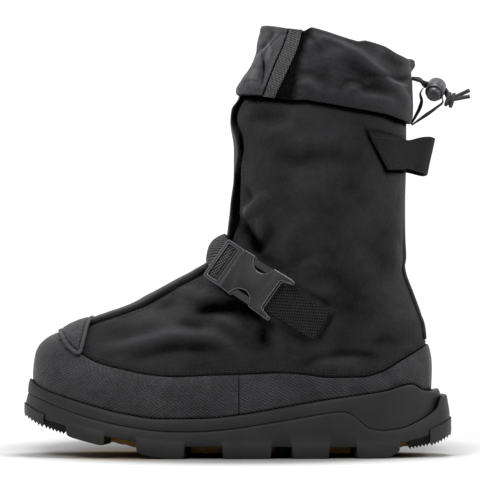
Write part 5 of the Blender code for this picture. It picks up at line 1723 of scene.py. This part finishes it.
def plate(mesh, corners, low, high):
    """Add a flat plate to a bmesh and return its faces."""
    bottom = [mesh.verts.new((x, y, low)) for x, y in corners]
    top = [mesh.verts.new((x, y, high)) for x, y in corners]
    return [mesh.faces.new(bottom[::-1]), mesh.faces.new(top)] + join_rings(mesh, bottom, top)


def rounded_box(start, end, low, high, radius, steps=5):
    """Corners of a rectangle with round corners."""
    corners = []
    for x, y, first in (
        (end - radius, high - radius, 0), (start + radius, high - radius, 90),
        (start + radius, low + radius, 180), (end - radius, low + radius, 270),
    ):
        for k in range(steps + 1):
            angle = math.radians(first + 90 * k / steps)
            corners.append((x + radius * math.cos(angle), y + radius * math.sin(angle)))
    return corners


def side_box(start, end, near, far, side, radius, steps=5):
    """Corners of a rounded rectangle on one side of the buckle's middle line."""
    low, high = sorted((side * near, side * far))
    return rounded_box(start, end, low, high, radius, steps)


def frame_plate(mesh, outer, inner, low, high):
    """Add a plate with a hole to a bmesh; both outlines have the same count of corners."""
    rings = []
    for corners, z in ((outer, low), (outer, high), (inner, high), (inner, low)):
        rings.append([mesh.verts.new((x, y, z)) for x, y in corners])
    for first, second in zip(rings, rings[1:] + rings[:1]):
        join_rings(mesh, first, second)


def socket_plan(joint, end, steps=14):
    """Plan of the socket: out along one long side with its round bite, and back along the other."""
    half = BUCKLE_WIDTH / 2
    middle = joint + BITE_AT
    plan = [(joint + GAP, half - 0.4)]
    for k in range(steps + 1):
        angle = math.pi * k / steps
        plan.append((middle - BITE_HALF * math.cos(angle), half - BITE_DEPTH * math.sin(angle)))
    plan += [(middle + 12, half), (end, half + 0.6), (end + 0.4, half - 2.4)]
    plan += [(end - 7.5, half - 4.6), (end - 8.5, half - 6.0)]
    return [(x, -y) for x, y in plan] + plan[::-1]


def build_socket(joint, end, stuff):
    """Scalloped socket: two plates with a narrower core between them."""
    plan = socket_plan(joint, end)
    mesh = bmesh.new()
    plate(mesh, plan, 4.6, BUCKLE_HEIGHT)
    plate(mesh, plan, 0.2, 2.0)
    soften(mesh, sharp_edges(mesh, 50), width=1.05, segments=4)
    core = CORE_WIDTH / 2 - 1.6
    plate(mesh, rounded_box(joint + 1.2, end - 9.5, -core, core, 1.0), 1.8, 4.8)
    socket = from_bmesh("buckle_socket_plastic", mesh, stuff["plastic"], RIM_ANGLE)
    paint_rim_highlights(socket, stuff["rim"])
    return socket


def build_latch(start, joint, stuff):
    """Ladder latch with its bar and two ribbed arms."""
    half = BUCKLE_WIDTH / 2
    mesh = bmesh.new()
    outer = rounded_box(start, joint, -half + 0.4, half - 0.4, 1.6)
    inner = rounded_box(start + 2.6, joint - 4.4, -half + 3.2, half - 3.2, 0.8)
    frame_plate(mesh, outer, inner, 0.8, BUCKLE_HEIGHT - 0.4)
    soften(mesh, sharp_edges(mesh, 50), width=0.8, segments=3)
    plate(mesh, rounded_box(joint - 7.4, joint - 5.6, -half + 2.0, half - 2.0, 0.6), 2.0, 4.6)
    mouth = (BUCKLE_HEIGHT - PRONG_HEIGHT) / 2
    for side in (-1, 1):
        arm = side_box(joint - 3, joint + PRONG_LENGTH + 6, half - 6.2, half - 1.2, side, 1.4)
        faces = plate(mesh, arm, mouth + 0.1, mouth + PRONG_HEIGHT + 0.6)
        soften(mesh, list({edge for face in faces for edge in face.edges}), width=0.8, segments=3)
    for k in range(RIB_COUNT):
        rib = joint + 13 + RIB_STEP * k
        for side in (-1, 1):
            bar = side_box(rib, rib + 1.1, half - 1.1 - 3.0, half - 1.1, side, 0.4, 2)
            plate(mesh, bar, mouth + 0.4, mouth + PRONG_HEIGHT - 0.6)
    latch = from_bmesh("buckle_latch_plastic", mesh, stuff["latch"], RIM_ANGLE)
    paint_rim_highlights(latch, stuff["rim"])
    return latch


def build_tongue(start, joint, stuff):
    """Webbing that shows in the latch's frame."""
    half = BUCKLE_WIDTH / 2
    mesh = bmesh.new()
    plate(mesh, rounded_box(start + 2.9, joint - 7.8, -half + 3.6, half - 3.6, 0.5), 1.2, 4.9)
    soften(mesh, sharp_edges(mesh, 50), width=0.7, segments=2)
    webbing = from_bmesh("latch_webbing", mesh, stuff["webbing"], 35)
    flat_map(webbing)
    return webbing


def build_buckle(stuff):
    """Fastened side-release buckle: ladder latch with two arms, and the scalloped socket."""
    frame = buckle_frame()
    start = -BUCKLE_LENGTH / 2
    joint = start + LATCH_LENGTH
    end = start + BUCKLE_LENGTH
    socket = build_socket(joint, end, stuff)
    latch = build_latch(start, joint, stuff)
    webbing = build_tongue(start, joint, stuff)
    for piece in (socket, latch, webbing):
        piece.matrix_world = frame
    dress(socket, "plastic", "buckle_socket")
    dress(latch, "plastic", "buckle_latch")
    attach(webbing, "boot")


def paint_rim_highlights(piece, material):
    """Give the rounded upper edges of a flat piece the lighter, glossier plastic, as a painted highlight."""
    piece.data.materials.append(material)
    for face in piece.data.polygons:
        if 0.2 < face.normal.z < 0.97:
            face.material_index = 1


def flat_map(thing):
    """Cloth map of a flat piece, straight from its own plan."""
    mesh = thing.data
    spots = np.zeros(len(mesh.vertices) * 3, np.float32)
    mesh.vertices.foreach_get("co", spots)
    used = np.zeros(len(mesh.loops), np.int32)
    mesh.loops.foreach_get("vertex_index", used)
    map_cloth(mesh, spots.reshape(-1, 3)[used][:, [1, 0]] / MM)


# Pull loop
def loop_edge(edge):
    """Route of one edge of the pull loop, round the back of the shaft."""
    near = wall(np.linspace(0.25, 0.5, 181), edge.level, LOOP_CLEAR)
    stations = np.linspace(edge.start, LOOP_LEAVES, 5)
    side = [(x, np.interp(x, near[:, 0], near[:, 1])) for x in stations]
    tail = [(edge.reach - LOOP_THICK - short, y) for short, y in LOOP_BEND]
    half_route = side + tail
    mirrored = [(x, -y) for x, y in half_route[-2::-1]]
    route = smooth_route(half_route + mirrored, LOOP_STEPS)
    height = np.full(LOOP_STEPS, edge.level)
    height -= edge.drop * (route[:, 0] - edge.start) / (edge.reach - edge.start)
    height -= LOOP_SAG * ease(np.linspace(0, 1, LOOP_STEPS), 0.42, 0.58)
    height += edge.cup * bell(route[:, 0], LOOP_CUP_AT, LOOP_CUP_REACH)
    return np.column_stack([route, height])


def flat_normals(steps):
    """Level vectors at right angles to a route's steps."""
    return unit(np.column_stack([steps[:, 1], -steps[:, 0], np.zeros(len(steps))]))


def build_pull_loop(stuff):
    """Loop of webbing, sewn to both sides of the shaft, with soft selvedges."""
    low, high = loop_edge(LOOP_LOW), loop_edge(LOOP_HIGH)
    normals = flat_normals(np.gradient((low + high) / 2, axis=0))
    sides, side_round = border(24, length=WEBBING, radius=0.7)
    flat = low[None, :] + (high - low)[None, :] * sides[:, None, None]
    sway = 0.5 * np.sin(math.pi * sides)[:, None] * np.linspace(-1, 1, LOOP_STEPS)[None, :] ** 2
    sway = sway + 0.35 * cloth_noise(flat, 14, 41)
    steps = np.arange(LOOP_STEPS)
    ends = ease(np.minimum(steps, steps[::-1]), 14, 40)
    inside = flat + normals[None] * (sway * ends[None, :])[..., None]
    thick = 0.5 + (LOOP_THICK - 0.5) * side_round
    outside = inside + normals[None] * thick[:, None, None]
    piece = sheet_solid("pull_loop_webbing", inside, outside, stuff["loop"])
    return dress(piece, "webbing", "pull_loop")


# Cords
def cord_curve(name, spots, count, material):
    """Round cord along a smooth route."""
    data = bpy.data.curves.new(name, "CURVE")
    data.dimensions = "3D"
    data.bevel_depth = CORD / 2 * MM
    data.bevel_resolution = 4
    data.use_fill_caps = True
    line = data.splines.new("POLY")
    route = smooth_route(spots, count)
    line.points.add(len(route) - 1)
    for point, spot in zip(line.points, route):
        point.co = (*[value * MM for value in spot], 1)
    data.materials.append(material)
    return link(bpy.data.objects.new(name, data))


def turned(axis, middle):
    """Frame with its z along an axis."""
    return Matrix.Translation(middle * MM) @ axis.to_track_quat("Z", "Y").to_matrix().to_4x4()


def lathe(name, profile, frame, material, segments=40):
    """Turned piece: each profile row is a radius and a height along the frame's z."""
    turns = np.arange(segments) * 2 * math.pi / segments
    points = []
    for radius, height in profile:
        points += [(radius * math.cos(turn), radius * math.sin(turn), height) for turn in turns]
    index = np.arange(len(points)).reshape(-1, segments)
    faces = quads_of(closed(index)).tolist() + [index[0, ::-1].tolist(), index[-1].tolist()]
    made = mesh_object(name, points, faces, material, 40)
    made.matrix_world = frame
    return made


def barrel_profile():
    """Radius and height of the barrel, from its closed end over the collar to the bore's floor."""
    half = LOCK_LENGTH / 2
    rim = LOCK_RADIUS
    floor = half + BUTTON_SHOWS - BUTTON_LENGTH - BUTTON_TRAVEL - 0.5
    closed_end = [(rim - 3.2, -half), (rim - 1.5, -half + 0.3), (rim - 0.5, -half + 1.0), (rim, -half + 2.2)]
    collar = [(rim, half - 3.4), (rim - 0.35, half - 3.1), (rim - 0.35, half - 2.7), (rim, half - 2.4)]
    mouth = [(rim, half - 0.6), (rim - 0.25, half - 0.15), (rim - 0.6, half), (LOCK_BORE + 0.3, half)]
    return closed_end + collar + mouth + [(LOCK_BORE, half - 0.3), (LOCK_BORE, floor)]


def button_profile():
    """Radius and height of the dished push button."""
    top = LOCK_LENGTH / 2 + BUTTON_SHOWS
    low = top - BUTTON_LENGTH
    edge = BUTTON_RADIUS
    side = [(edge - 0.6, low), (edge, low + 0.5), (edge, top - 0.9)]
    brim = [(edge - 0.25, top - 0.3), (edge - 0.8, top), (edge - 1.4, top)]
    dish = [(edge - 1.7, top - 0.35), (edge - 2.6, top - 0.5), (0.6, top - 0.3)]
    return side + brim + dish


def build_cord_lock(stuff):
    """Barrel with a collar round its mouth, and the dished push button."""
    frame = turned(LOCK_AXIS, LOCK_MIDDLE)
    barrel = lathe("cord_lock_barrel_plastic", barrel_profile(), frame, stuff["lock"])
    button = lathe("cord_lock_button_plastic", button_profile(), frame, stuff["lock"])
    dress(barrel, "plastic", "cord_lock_barrel")
    dress(button, "plastic", "cord_lock_button", body="lock_button")
    return barrel, button


def knot_ring(mesh, wrap, angle):
    """Ring of corners round the cord at one angle of a wrap."""
    sway = wrap.shift + wrap.lean * wrap.reach * 0.6 * math.sin(angle + 0.6)
    centre = Vector((sway, wrap.reach * 0.62 * math.cos(angle), wrap.reach * math.sin(angle)))
    out = Vector((0, math.cos(angle), math.sin(angle)))
    ring = []
    for i in range(KNOT_SIDES):
        spin = 2 * math.pi * i / KNOT_SIDES
        spot = centre + (out * math.cos(spin) + Vector((1, 0, 0)) * math.sin(spin)) * CORD * 0.52
        ring.append(mesh.verts.new(spot))
    return ring


def build_knot(stuff):
    """Overhand knot: two wraps of cord round the strands, and the crossing over them."""
    mesh = bmesh.new()
    for wrap in KNOT_WRAPS:
        rings = [knot_ring(mesh, wrap, 2 * math.pi * k / KNOT_STEPS) for k in range(KNOT_STEPS)]
        for ring, after in zip(rings, rings[1:] + rings[:1]):
            join_rings(mesh, ring, after)
    knot = from_bmesh("drawcord_knot_braid", mesh, stuff["cord"], 60)
    knot.matrix_world = Matrix.Translation(KNOT_MIDDLE * MM) @ Matrix.Rotation(KNOT_TILT, 4, "Y")
    return dress(knot, "cord", "drawcord_knot")


def cord_route(strand):
    """Spots along one strand: out of the cuff, through the lock and the knot, to its bare end."""
    side = strand.side
    shift = Vector((0, side * CORD_SPREAD, 0))
    way = (LOCK_MIDDLE - CORD_EXIT).normalized()
    near = LOCK_MIDDLE - way * (LOCK_RADIUS + 2 * GAP)
    bow = Vector((0, side * 1.0, strand.bow))
    apart = LOCK_AXIS.cross(way).normalized() * CORD_SPREAD * -0.8 * side
    enters = near + Vector((0, CORD_DEPTH * 0.9, 0)) + apart * 0.9
    inside = LOCK_MIDDLE - LOCK_AXIS * CORD_DEPTH + apart
    out = KNOT_MIDDLE - LOCK_MIDDLE
    out = (out - LOCK_AXIS * out.dot(LOCK_AXIS)).normalized()
    leaves = LOCK_MIDDLE + out * (LOCK_RADIUS + 3 * GAP) - LOCK_AXIS * CORD_DEPTH * 0.85 + apart * 0.7
    first = KNOT_MIDDLE + Vector((4.2, side * 2.0, strand.knot_rise))
    last = Vector((TAIL_X, side * 2.4, KNOT_MIDDLE.z + strand.tail_rise))
    spots = [CORD_EXIT + shift, (CORD_EXIT + near) / 2 + shift + bow, enters, inside, leaves]
    spots += [KNOT_MIDDLE + shift * 0.5, first, (first + last) / 2, last]
    return [tuple(spot) for spot in spots]


def route_length(spots):
    """Length of a route in metres."""
    return float(np.linalg.norm(np.diff(np.array(spots), axis=0), axis=1).sum()) * MM


def build_drawcord(stuff):
    """Two strands, the lock, the knot and the ribbon that holds the lock."""
    barrel, button = build_cord_lock(stuff)
    knot = build_knot(stuff)
    for strand in STRANDS:
        spots = cord_route(strand)
        piece = cord_curve(strand.name, spots, STRAND_STEPS, stuff["cord"])
        dress(piece, "cord", *strand.nodes)
        [value * MM for value in spots[0]]
        route_length(smooth_route(spots, STRAND_STEPS))
    build_tether(stuff)


def build_tether(stuff):
    """Thin ribbon from the cuff's lower edge, behind the cord lock and back."""
    route = smooth_route(TETHER_ROUTE, TETHER_STEPS)
    steps = unit(np.gradient(route, axis=0))
    twist = np.radians(np.interp(np.arange(TETHER_STEPS), *zip(*TETHER_TWIST)))
    sideways = np.array([0.0, 1.0, 0.0])
    flat = unit(np.cross(steps, sideways))
    wide = flat * np.cos(twist)[:, None] + sideways * np.sin(twist)[:, None]
    normal = np.cross(steps, wide)
    sides, side_round = border(8, length=TETHER_WIDTH, radius=0.3)
    middle = route[None] + (2 * sides - 1)[:, None, None] * TETHER_WIDTH / 2 * wide[None]
    rise = normal[None] * (TETHER_THICK / 2 * (0.3 + 0.7 * side_round))[:, None, None]
    piece = sheet_solid("lock_tether_ribbon", middle - rise, middle + rise, stuff["tether"])
    dress(piece, "webbing", "lock_tether")


# Sole
def sole_ring(shape, height, inset=0.0):
    """One ring of points round the sole, at a height worked out from x."""
    turns = np.arange(SOLE_RING) / SOLE_RING
    x, y = outline(shape, turns)
    ahead_x, ahead_y = outline(shape, turns + 0.002)
    behind_x, behind_y = outline(shape, turns - 0.002)
    run = np.hypot(ahead_x - behind_x, ahead_y - behind_y)
    x = x - inset * (ahead_y - behind_y) / run
    y = y + inset * (ahead_x - behind_x) / run
    return np.stack([x, y, height(x)], axis=-1)


def capped(name, rings, material, angle=38):
    """Closed solid through rings round the sole, with a cap of strips at each end."""
    size = SOLE_RING
    rows = len(rings)
    faces = quads_of(closed(np.arange(rows * size).reshape(rows, size))).tolist()
    for first, upward in ((0, False), ((rows - 1) * size, True)):
        for k in range(size // 2):
            corners = [k, k + 1, size - k - 1, size - k]
            if k == 0:
                corners = corners[:3]
            if k == size // 2 - 1:
                corners = [k, k + 1, size - k]
            corners = [first + corner for corner in corners]
            faces.append(corners if upward else corners[::-1])
    return mesh_object(name, np.concatenate(rings), faces, material, angle)


def side_at(shape, x, outer):
    """Where a plan outline lies at station x on one side."""
    turns = np.linspace(0.0, 0.5, 721)
    line_x, line_y = outline(shape, turns if outer else 1 - turns)
    return np.interp(x, line_x, line_y)


def section_mesh(rows):
    """Bmesh through rows of four corners each, closed at both ends."""
    mesh = bmesh.new()
    sections = [[mesh.verts.new(corner) for corner in row] for row in rows]
    for before, after in zip(sections[:-1], sections[1:]):
        for k in range(4):
            n = (k + 1) % 4
            mesh.faces.new((before[k], after[k], after[n], before[n]))
    mesh.faces.new(sections[0])
    mesh.faces.new(sections[-1][::-1])
    bmesh.ops.recalc_face_normals(mesh, faces=mesh.faces)
    return mesh


def block_mesh(stations, low_y, high_y, bottom, top):
    """Bmesh of a block with upright sides, by its sections along the sole."""
    rows = []
    for x, a, b, z0, z1 in zip(stations, low_y, high_y, bottom, top):
        rows.append([(x, a, z0), (x, b, z0), (x, b, z1), (x, a, z1)])
    return section_mesh(rows)


def edge_lug(lug, outer):
    """Lug on one edge of the sole, with rounded edges."""
    x = np.linspace(lug.start, lug.end, LUG_SECTIONS)
    side = -1 if outer else 1
    edge = side_at(TREAD_OUTLINE, x, outer)
    brow = side_at(WEB_OUTLINE, x, outer) + side * 0.15
    inner = edge - side * lug.depth
    foot = x + LUG_TAPER * np.linspace(1, -1, LUG_SECTIONS)
    ends = bell(np.minimum(x - lug.start, lug.end - x), 0, LUG_END_SPAN)
    low = SOLE["lug"](x) + LUG_END_RISE * ends
    high = SOLE["web"](x) + LUG_RISE
    below = [(foot, edge, low), (foot + lug.slant, inner, low)]
    above = [(x + lug.slant, inner, high), (x, brow, high)]
    mesh = section_mesh(np.moveaxis(np.array(below + above), 2, 0).tolist())
    soften(mesh, sharp_edges(mesh, 50), width=LUG_ROUND, segments=2)
    return mesh


def tooth_stations(start, end):
    """Stations of a row of small teeth and the notches between them."""
    count = max(4, int(round((end - start) / TOOTH)) * 2)
    return np.linspace(start, end, count + 1)


def cross_lug(x, low_y, high_y, toothed):
    """Lug across the sole, its underside a row of small teeth where asked."""
    notch = TOOTH_DEPTH if toothed else 0.0
    bottom = SOLE["lug"](x) + np.where(np.arange(len(x)) % 2 == 0, notch, 0.0)
    return block_mesh(x, low_y + 0 * x, high_y + 0 * x, bottom, SOLE["web"](x) + LUG_RISE)


def lug_meshes():
    """All lugs of the sole."""
    made = [edge_lug(lug, outer) for lug in EDGE_LUGS for outer in (True, False)]
    for start, end in ((-HALF_SOLE + END_INSET, TOE_LUG_END), (HEEL_LUG_START, HALF_SOLE - END_INSET)):
        x = tooth_stations(start, end)
        made.append(cross_lug(x, side_at(TREAD_OUTLINE, x, True), side_at(TREAD_OUTLINE, x, False), True))
    for lug in MIDDLE_LUGS:
        centre = toe_swing((lug.start + lug.end) / 2)
        x = tooth_stations(lug.start, lug.end) if lug.toothed else np.array([lug.start, lug.end])
        made.append(cross_lug(x, centre - lug.half, centre + lug.half, lug.toothed))
    return made


def build_outsole(stuff):
    """Rubber outsole: a rockered slab with rounded edges and lugs joined under it."""
    web, groove = SOLE["web"], SOLE["groove"]

    def between(share):
        return lambda x: web(x) + (groove(x) - web(x)) * share

    rings = [
        sole_ring(WEB_OUTLINE, web, 1.2),
        sole_ring(WEB_OUTLINE, lambda x: web(x) + 0.25, 0.3),
        sole_ring(WEB_OUTLINE, lambda x: web(x) + 1.0),
        sole_ring(SWELL_OUTLINE, between(0.45)),
        sole_ring(GROOVE_OUTLINE, lambda x: groove(x) - 1.8),
        sole_ring(GROOVE_OUTLINE, lambda x: groove(x) - 0.8, 0.2),
        sole_ring(GROOVE_OUTLINE, lambda x: groove(x) - 0.3, 0.6),
        sole_ring(GROOVE_OUTLINE, lambda x: groove(x) - 0.1, 2.0),
    ]
    slab = capped("outsole_rubber", rings, stuff["rubber"])
    cutters = []
    for number, mesh in enumerate(lug_meshes()):
        cutters.append(from_bmesh("lug_%d" % number, mesh, stuff["rubber"]))
        union = slab.modifiers.new("join_%d" % number, "BOOLEAN")
        union.operation = "UNION"
        union.solver = "EXACT"
        union.object = cutters[-1]
    applied(slab)
    for cutter in cutters:
        bpy.data.objects.remove(cutter, do_unlink=True)
    shade(slab.data, 34)
    return dress(slab, "rubber", "outsole")


def blend_outline(band, top, share):
    """Outline part of the way from the band's foot to its rim."""
    mixed = [a + (b - a) * share for a, b in zip(band, top)]
    return Section(*mixed)


def build_midsole(stuff):
    """Raised band with a soft rim and a cup that takes the upper."""
    groove = SOLE["groove"]
    band, top = BAND_OUTLINE, RIM_OUTLINE
    cup = section_at(FEATHER_LOW)
    reach = -(RAND_THICK + GAP + CUP_CLEAR)

    def rim(x):
        return FEATHER["rim"](x) - HEEL_DIP * ease(x, 142, 151)

    def between(share):
        return lambda x: groove(x) + (rim(x) - groove(x)) * share

    rings = [
        sole_ring(band, groove, 2.0),
        sole_ring(band, lambda x: groove(x) + 0.05, 0.5),
        sole_ring(band, lambda x: groove(x) + 0.4, 0.1),
        sole_ring(band, lambda x: groove(x) + 1.4, -0.1),
        sole_ring(blend_outline(band, top, 0.4), between(0.5), -0.35),
        sole_ring(blend_outline(band, top, 0.8), lambda x: rim(x) - 2.0, -0.1),
        sole_ring(top, lambda x: rim(x) - 0.9, 0.05),
        sole_ring(top, lambda x: rim(x) - 0.25, 0.6),
        sole_ring(top, rim, 1.5),
        sole_ring(cup, lambda x: rim(x) - 0.2, reach),
        sole_ring(cup, lambda x: FEATHER["seat"](x) - CUP_DEPTH, reach),
    ]
    return dress(capped("midsole_rubber", rings, stuff["rubber"], 50), "rubber", "midsole")


def build_insole(stuff):
    """Lined board inside the upper, a little crowned."""
    cup = section_at(FEATHER_LOW)
    seat = FEATHER["seat"]
    inset = WALL + INSOLE_CLEAR
    low = GAP - CUP_DEPTH
    rings = [
        sole_ring(cup, lambda x: seat(x) + low, inset + 0.8),
        sole_ring(cup, lambda x: seat(x) + low + 0.6, inset),
        sole_ring(cup, lambda x: seat(x) + low + INSOLE_THICK - 0.7, inset),
        sole_ring(cup, lambda x: seat(x) + low + INSOLE_THICK - 0.1, inset + 0.8),
        sole_ring(cup, lambda x: seat(x) + low + INSOLE_THICK, inset + 6.0),
    ]
    piece = capped("insole_lining", rings, stuff["lining"])
    flat_map(piece)
    return dress(piece, "board", "insole")


def build_grip_pads(stuff):
    """Amber pads between the lugs, with a row of shallow grooves across."""
    for pad in GRIP_PADS:
        count = int((pad.end - pad.start) / 3.0)
        x = np.linspace(pad.start, pad.end, count + 1)
        grooves = np.where(np.arange(count + 1) % 3 == 1, 0.5, 0.0)
        centre = toe_swing(x)
        bottom = SOLE["lug"](x) + pad.floor + grooves
        mesh = block_mesh(x, centre - pad.half, centre + pad.half, bottom, SOLE["web"](x) - GAP)
        piece = from_bmesh(pad.node + "_amber", mesh, stuff["amber"], 30)
        dress(piece, "amber_rubber", pad.node)


# Stitches
def stitch_row(points, normals):
    """Small pointed stitches along a route on a surface: their corners and faces."""
    lengths = arc_lengths(points)
    turns = 2 * math.pi * np.arange(STITCH_SIDES) / STITCH_SIDES
    corners, faces = [], []
    for start in np.arange(0, lengths[-1] - STITCH_LENGTH, STITCH_LENGTH + STITCH_GAP):
        at = start + STITCH_LENGTH * np.array([ring.share for ring in STITCH_RINGS])
        line = along_route(at, lengths, points)
        ups = unit(along_route(at, lengths, normals))
        way = unit(line[-1] - line[0])
        first = len(corners)
        for spot, out, ring in zip(line, ups, STITCH_RINGS):
            side = np.cross(way, out)
            for angle in turns:
                around = math.cos(angle) * side + (math.sin(angle) + 0.2) * out
                corners.append(spot + STITCH_RADIUS * ring.size * around)
        index = first + np.arange(len(STITCH_RINGS) * STITCH_SIDES).reshape(-1, STITCH_SIDES)
        faces += quads_of(closed(index)).tolist()
        faces += [index[0, ::-1].tolist(), index[-1].tolist()]
    return corners, faces


def on_upper(turn, level, lift=0.0):
    """Point on the upper's folded cloth, and the wall's normal there."""
    relief = upper_relief(wall_point(turn, level))
    spot = wall(turn, level, relief + lift)
    normal = wall(turn, level, relief + lift + 1.0) - spot
    return spot, normal


def loop_seam(run, side):
    """Points and normals on the pull loop's outer face, by distance along it and share across it."""
    low, high = loop_edge(LOOP_LOW), loop_edge(LOOP_HIGH)
    start = along_route(run, arc_lengths(low), low)
    end = along_route(run, arc_lengths(high), high)
    middle = (low + high) / 2
    normal = flat_normals(along_route(run, arc_lengths(middle), np.gradient(middle, axis=0)))
    return start + (end - start) * side[:, None] + normal * (LOOP_THICK + 0.15), normal


def loop_seams():
    """Sewn lines on the pull loop: across its end, along both edges, and the bar at its corner."""
    ones = np.ones(SEAM_STEPS)
    run = np.linspace(3.0, 24.0, SEAM_STEPS)
    made = [loop_seam(3.0 * ones, np.linspace(0.08, 0.94, SEAM_STEPS))]
    made += [loop_seam(run, 0.9 * ones), loop_seam(run, 0.1 * ones)]
    for shift in (0.0, 0.7, 1.4):
        made.append(loop_seam(np.linspace(0.4, 5.4, SEAM_STEPS), (0.97 - shift / WEBBING) * ones))
    return made


def build_stitches(stuff):
    """Sewn lines: two above the rand, one on each panel edge, and those on the pull loop."""
    rows = []
    shares = np.linspace(0, 1, 260)
    for turn_of in (toe_turn, heel_turn):
        for lift in (2.6, 4.2):
            level = rand_top(shares, turn_of, lift)
            rows.append(on_upper(turn_of(shares, level), level, 0.1))
    level = np.linspace(104, 262, 260)
    for side, edge in ((-1, "outer"), (1, "inner")):
        turn = front_turn(side * (PANEL[edge](level) + 3.2), level)
        rows.append(on_upper(turn, level, 0.45))
    rows += loop_seams()
    points, faces = [], []
    for spots, normals in rows:
        made, made_faces = stitch_row(spots, normals)
        faces += [tuple(corner + len(points) for corner in face) for face in made_faces]
        points += made
    piece = mesh_object("seam_stitches", points, faces, stuff["thread"])
    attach(piece, "boot")


# Studio
def area_light(light):
    """Soft box that faces a spot."""
    data = bpy.data.lights.new(light.name, "AREA")
    data.shape = "DISK"
    data.size = light.size
    data.energy = light.power
    made = link(bpy.data.objects.new(light.name, data))
    made.location = light.place
    made.rotation_mode = "QUATERNION"
    made.rotation_quaternion = (Vector(light.aim) - Vector(light.place)).to_track_quat("-Z", "Y")
    return made


def build_floor(stuff):
    """Round white floor."""
    mesh = bmesh.new()
    bmesh.ops.create_circle(mesh, cap_ends=True, segments=96, radius=FLOOR_RADIUS)
    floor = from_bmesh("studio_floor", mesh, stuff["floor"])


def build_world():
    """White surroundings that light the boot mainly from behind and look white from every side."""
    world = bpy.data.worlds.new("studio")
    world.use_nodes = True
    tree = world.node_tree
    way = node(tree, "SeparateXYZ", {"Vector": node(tree, "TexCoord").outputs["Generated"]})
    glow = node(tree, "MapRange", {
        "Value": way.outputs["Y"], "From Min": GLOW_FROM, "From Max": GLOW_TO,
        "To Min": FRONT_GLOW, "To Max": BACK_GLOW,
    })
    seen = crossed(tree, node(tree, "LightPath").outputs["Is Camera Ray"], BACK_GLOW, "MULTIPLY")
    strength = crossed(tree, glow.outputs["Result"], seen, "MAXIMUM")
    tree.links.new(strength, tree.nodes["Background"].inputs["Strength"])
    tree.nodes["Background"].inputs["Color"].default_value = (1, 1, 1, 1)
    bpy.context.scene.world = world
    bpy.context.scene.view_settings.view_transform = "Standard"


def build_camera():
    """Camera that frames what the photograph covers."""
    middle_x = (PHOTO_SIZE / 2 - ORIGIN_PIXEL[0]) * PIXEL
    middle_z = (ORIGIN_PIXEL[1] - PHOTO_SIZE / 2) * PIXEL - CAMERA_DROP
    middle = Vector((middle_x, 0, middle_z))
    place = Vector((middle.x, -CAMERA_AWAY, CAMERA_HEIGHT))
    data = bpy.data.cameras.new("camera")
    data.sensor_width = SENSOR
    data.lens = SENSOR * (middle - place).length / (PHOTO_SIZE * PIXEL)
    data.clip_end = 50
    camera = link(bpy.data.objects.new("camera", data))
    camera.location = place * MM
    camera.rotation_mode = "QUATERNION"
    camera.rotation_quaternion = (middle - place).to_track_quat("-Z", "Y")
    bpy.context.scene.camera = camera


def build_studio(stuff):
    """White floor and surroundings, three soft boxes and the camera."""
    build_floor(stuff)
    build_world()
    for light in LIGHTS:
        area_light(light)
    build_camera()


def clear_scene():
    """Start from an empty file."""
    for item in list(bpy.data.objects):
        bpy.data.objects.remove(item, do_unlink=True)


clear_scene()
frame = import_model()
STUFF = {
    "nylon": nylon("nylon_shell", 0.0115, 0.10),
    "cuff": nylon("nylon_cuff", 0.016, 0.08),
    "tab": nylon("nylon_tab", 0.042, 0.10, 0.3),
    "rand": rand_stuff(),
    "patch": patch_stuff(),
    "rubber": rubber_stuff(),
    "amber": amber_stuff(),
    "webbing": webbing_stuff("webbing_strap", 0.03, 2.0),
    "anchor": webbing_stuff("webbing_anchor", 0.0048, 2.2),
    "loop": webbing_stuff("webbing_loop", 0.006, 1.2),
    "hook": webbing_stuff("hook_tape", 0.045, 1.4),
    "tether": webbing_stuff("webbing_tether", 0.008, 1.0),
    "pile": fuzz_stuff(),
    "plastic": plastic_stuff("buckle_plastic", 0.009, 0.48),
    "latch": plastic_stuff("latch_plastic", 0.011, 0.48),
    # Lighter plastic for the buckle's edges, a painted highlight
    "rim": rim_highlight_stuff(),
    "lock": lock_stuff(),
    "cord": cord_stuff(),
    "thread": thread_stuff(),
    "lining": lining_stuff(),
    "floor": floor_stuff(),
}

build_studio(STUFF)
build_drawcord(STUFF)
build_upper(STUFF)
build_gusset(STUFF)
build_rand("toe_rand_coating", "toe_rand", toe_turn, STUFF)
build_rand("heel_rand_coating", "heel_rand", heel_turn, STUFF)
build_toe_patch(STUFF)
build_back_tape(STUFF)
build_cuff(STUFF)
build_tab(STUFF)
build_strip(
    "hook_strip_tape", "hook_strip", HOOK_FRONT, HOOK_REAR, TAB_THICK + 2 * GAP, (HOOK_LOW, TAB_TOP),
    STUFF["hook"],
)
build_strip("loop_patch_pile", "loop_patch", LOOP_FRONT, LOOP_REAR, GAP, (TAB_LOW, LOOP_TOP), STUFF["pile"])
build_strap(STUFF)
build_anchor(STUFF)
build_buckle(STUFF)
build_pull_loop(STUFF)
build_outsole(STUFF)
build_midsole(STUFF)
build_insole(STUFF)
build_grip_pads(STUFF)
build_stitches(STUFF)
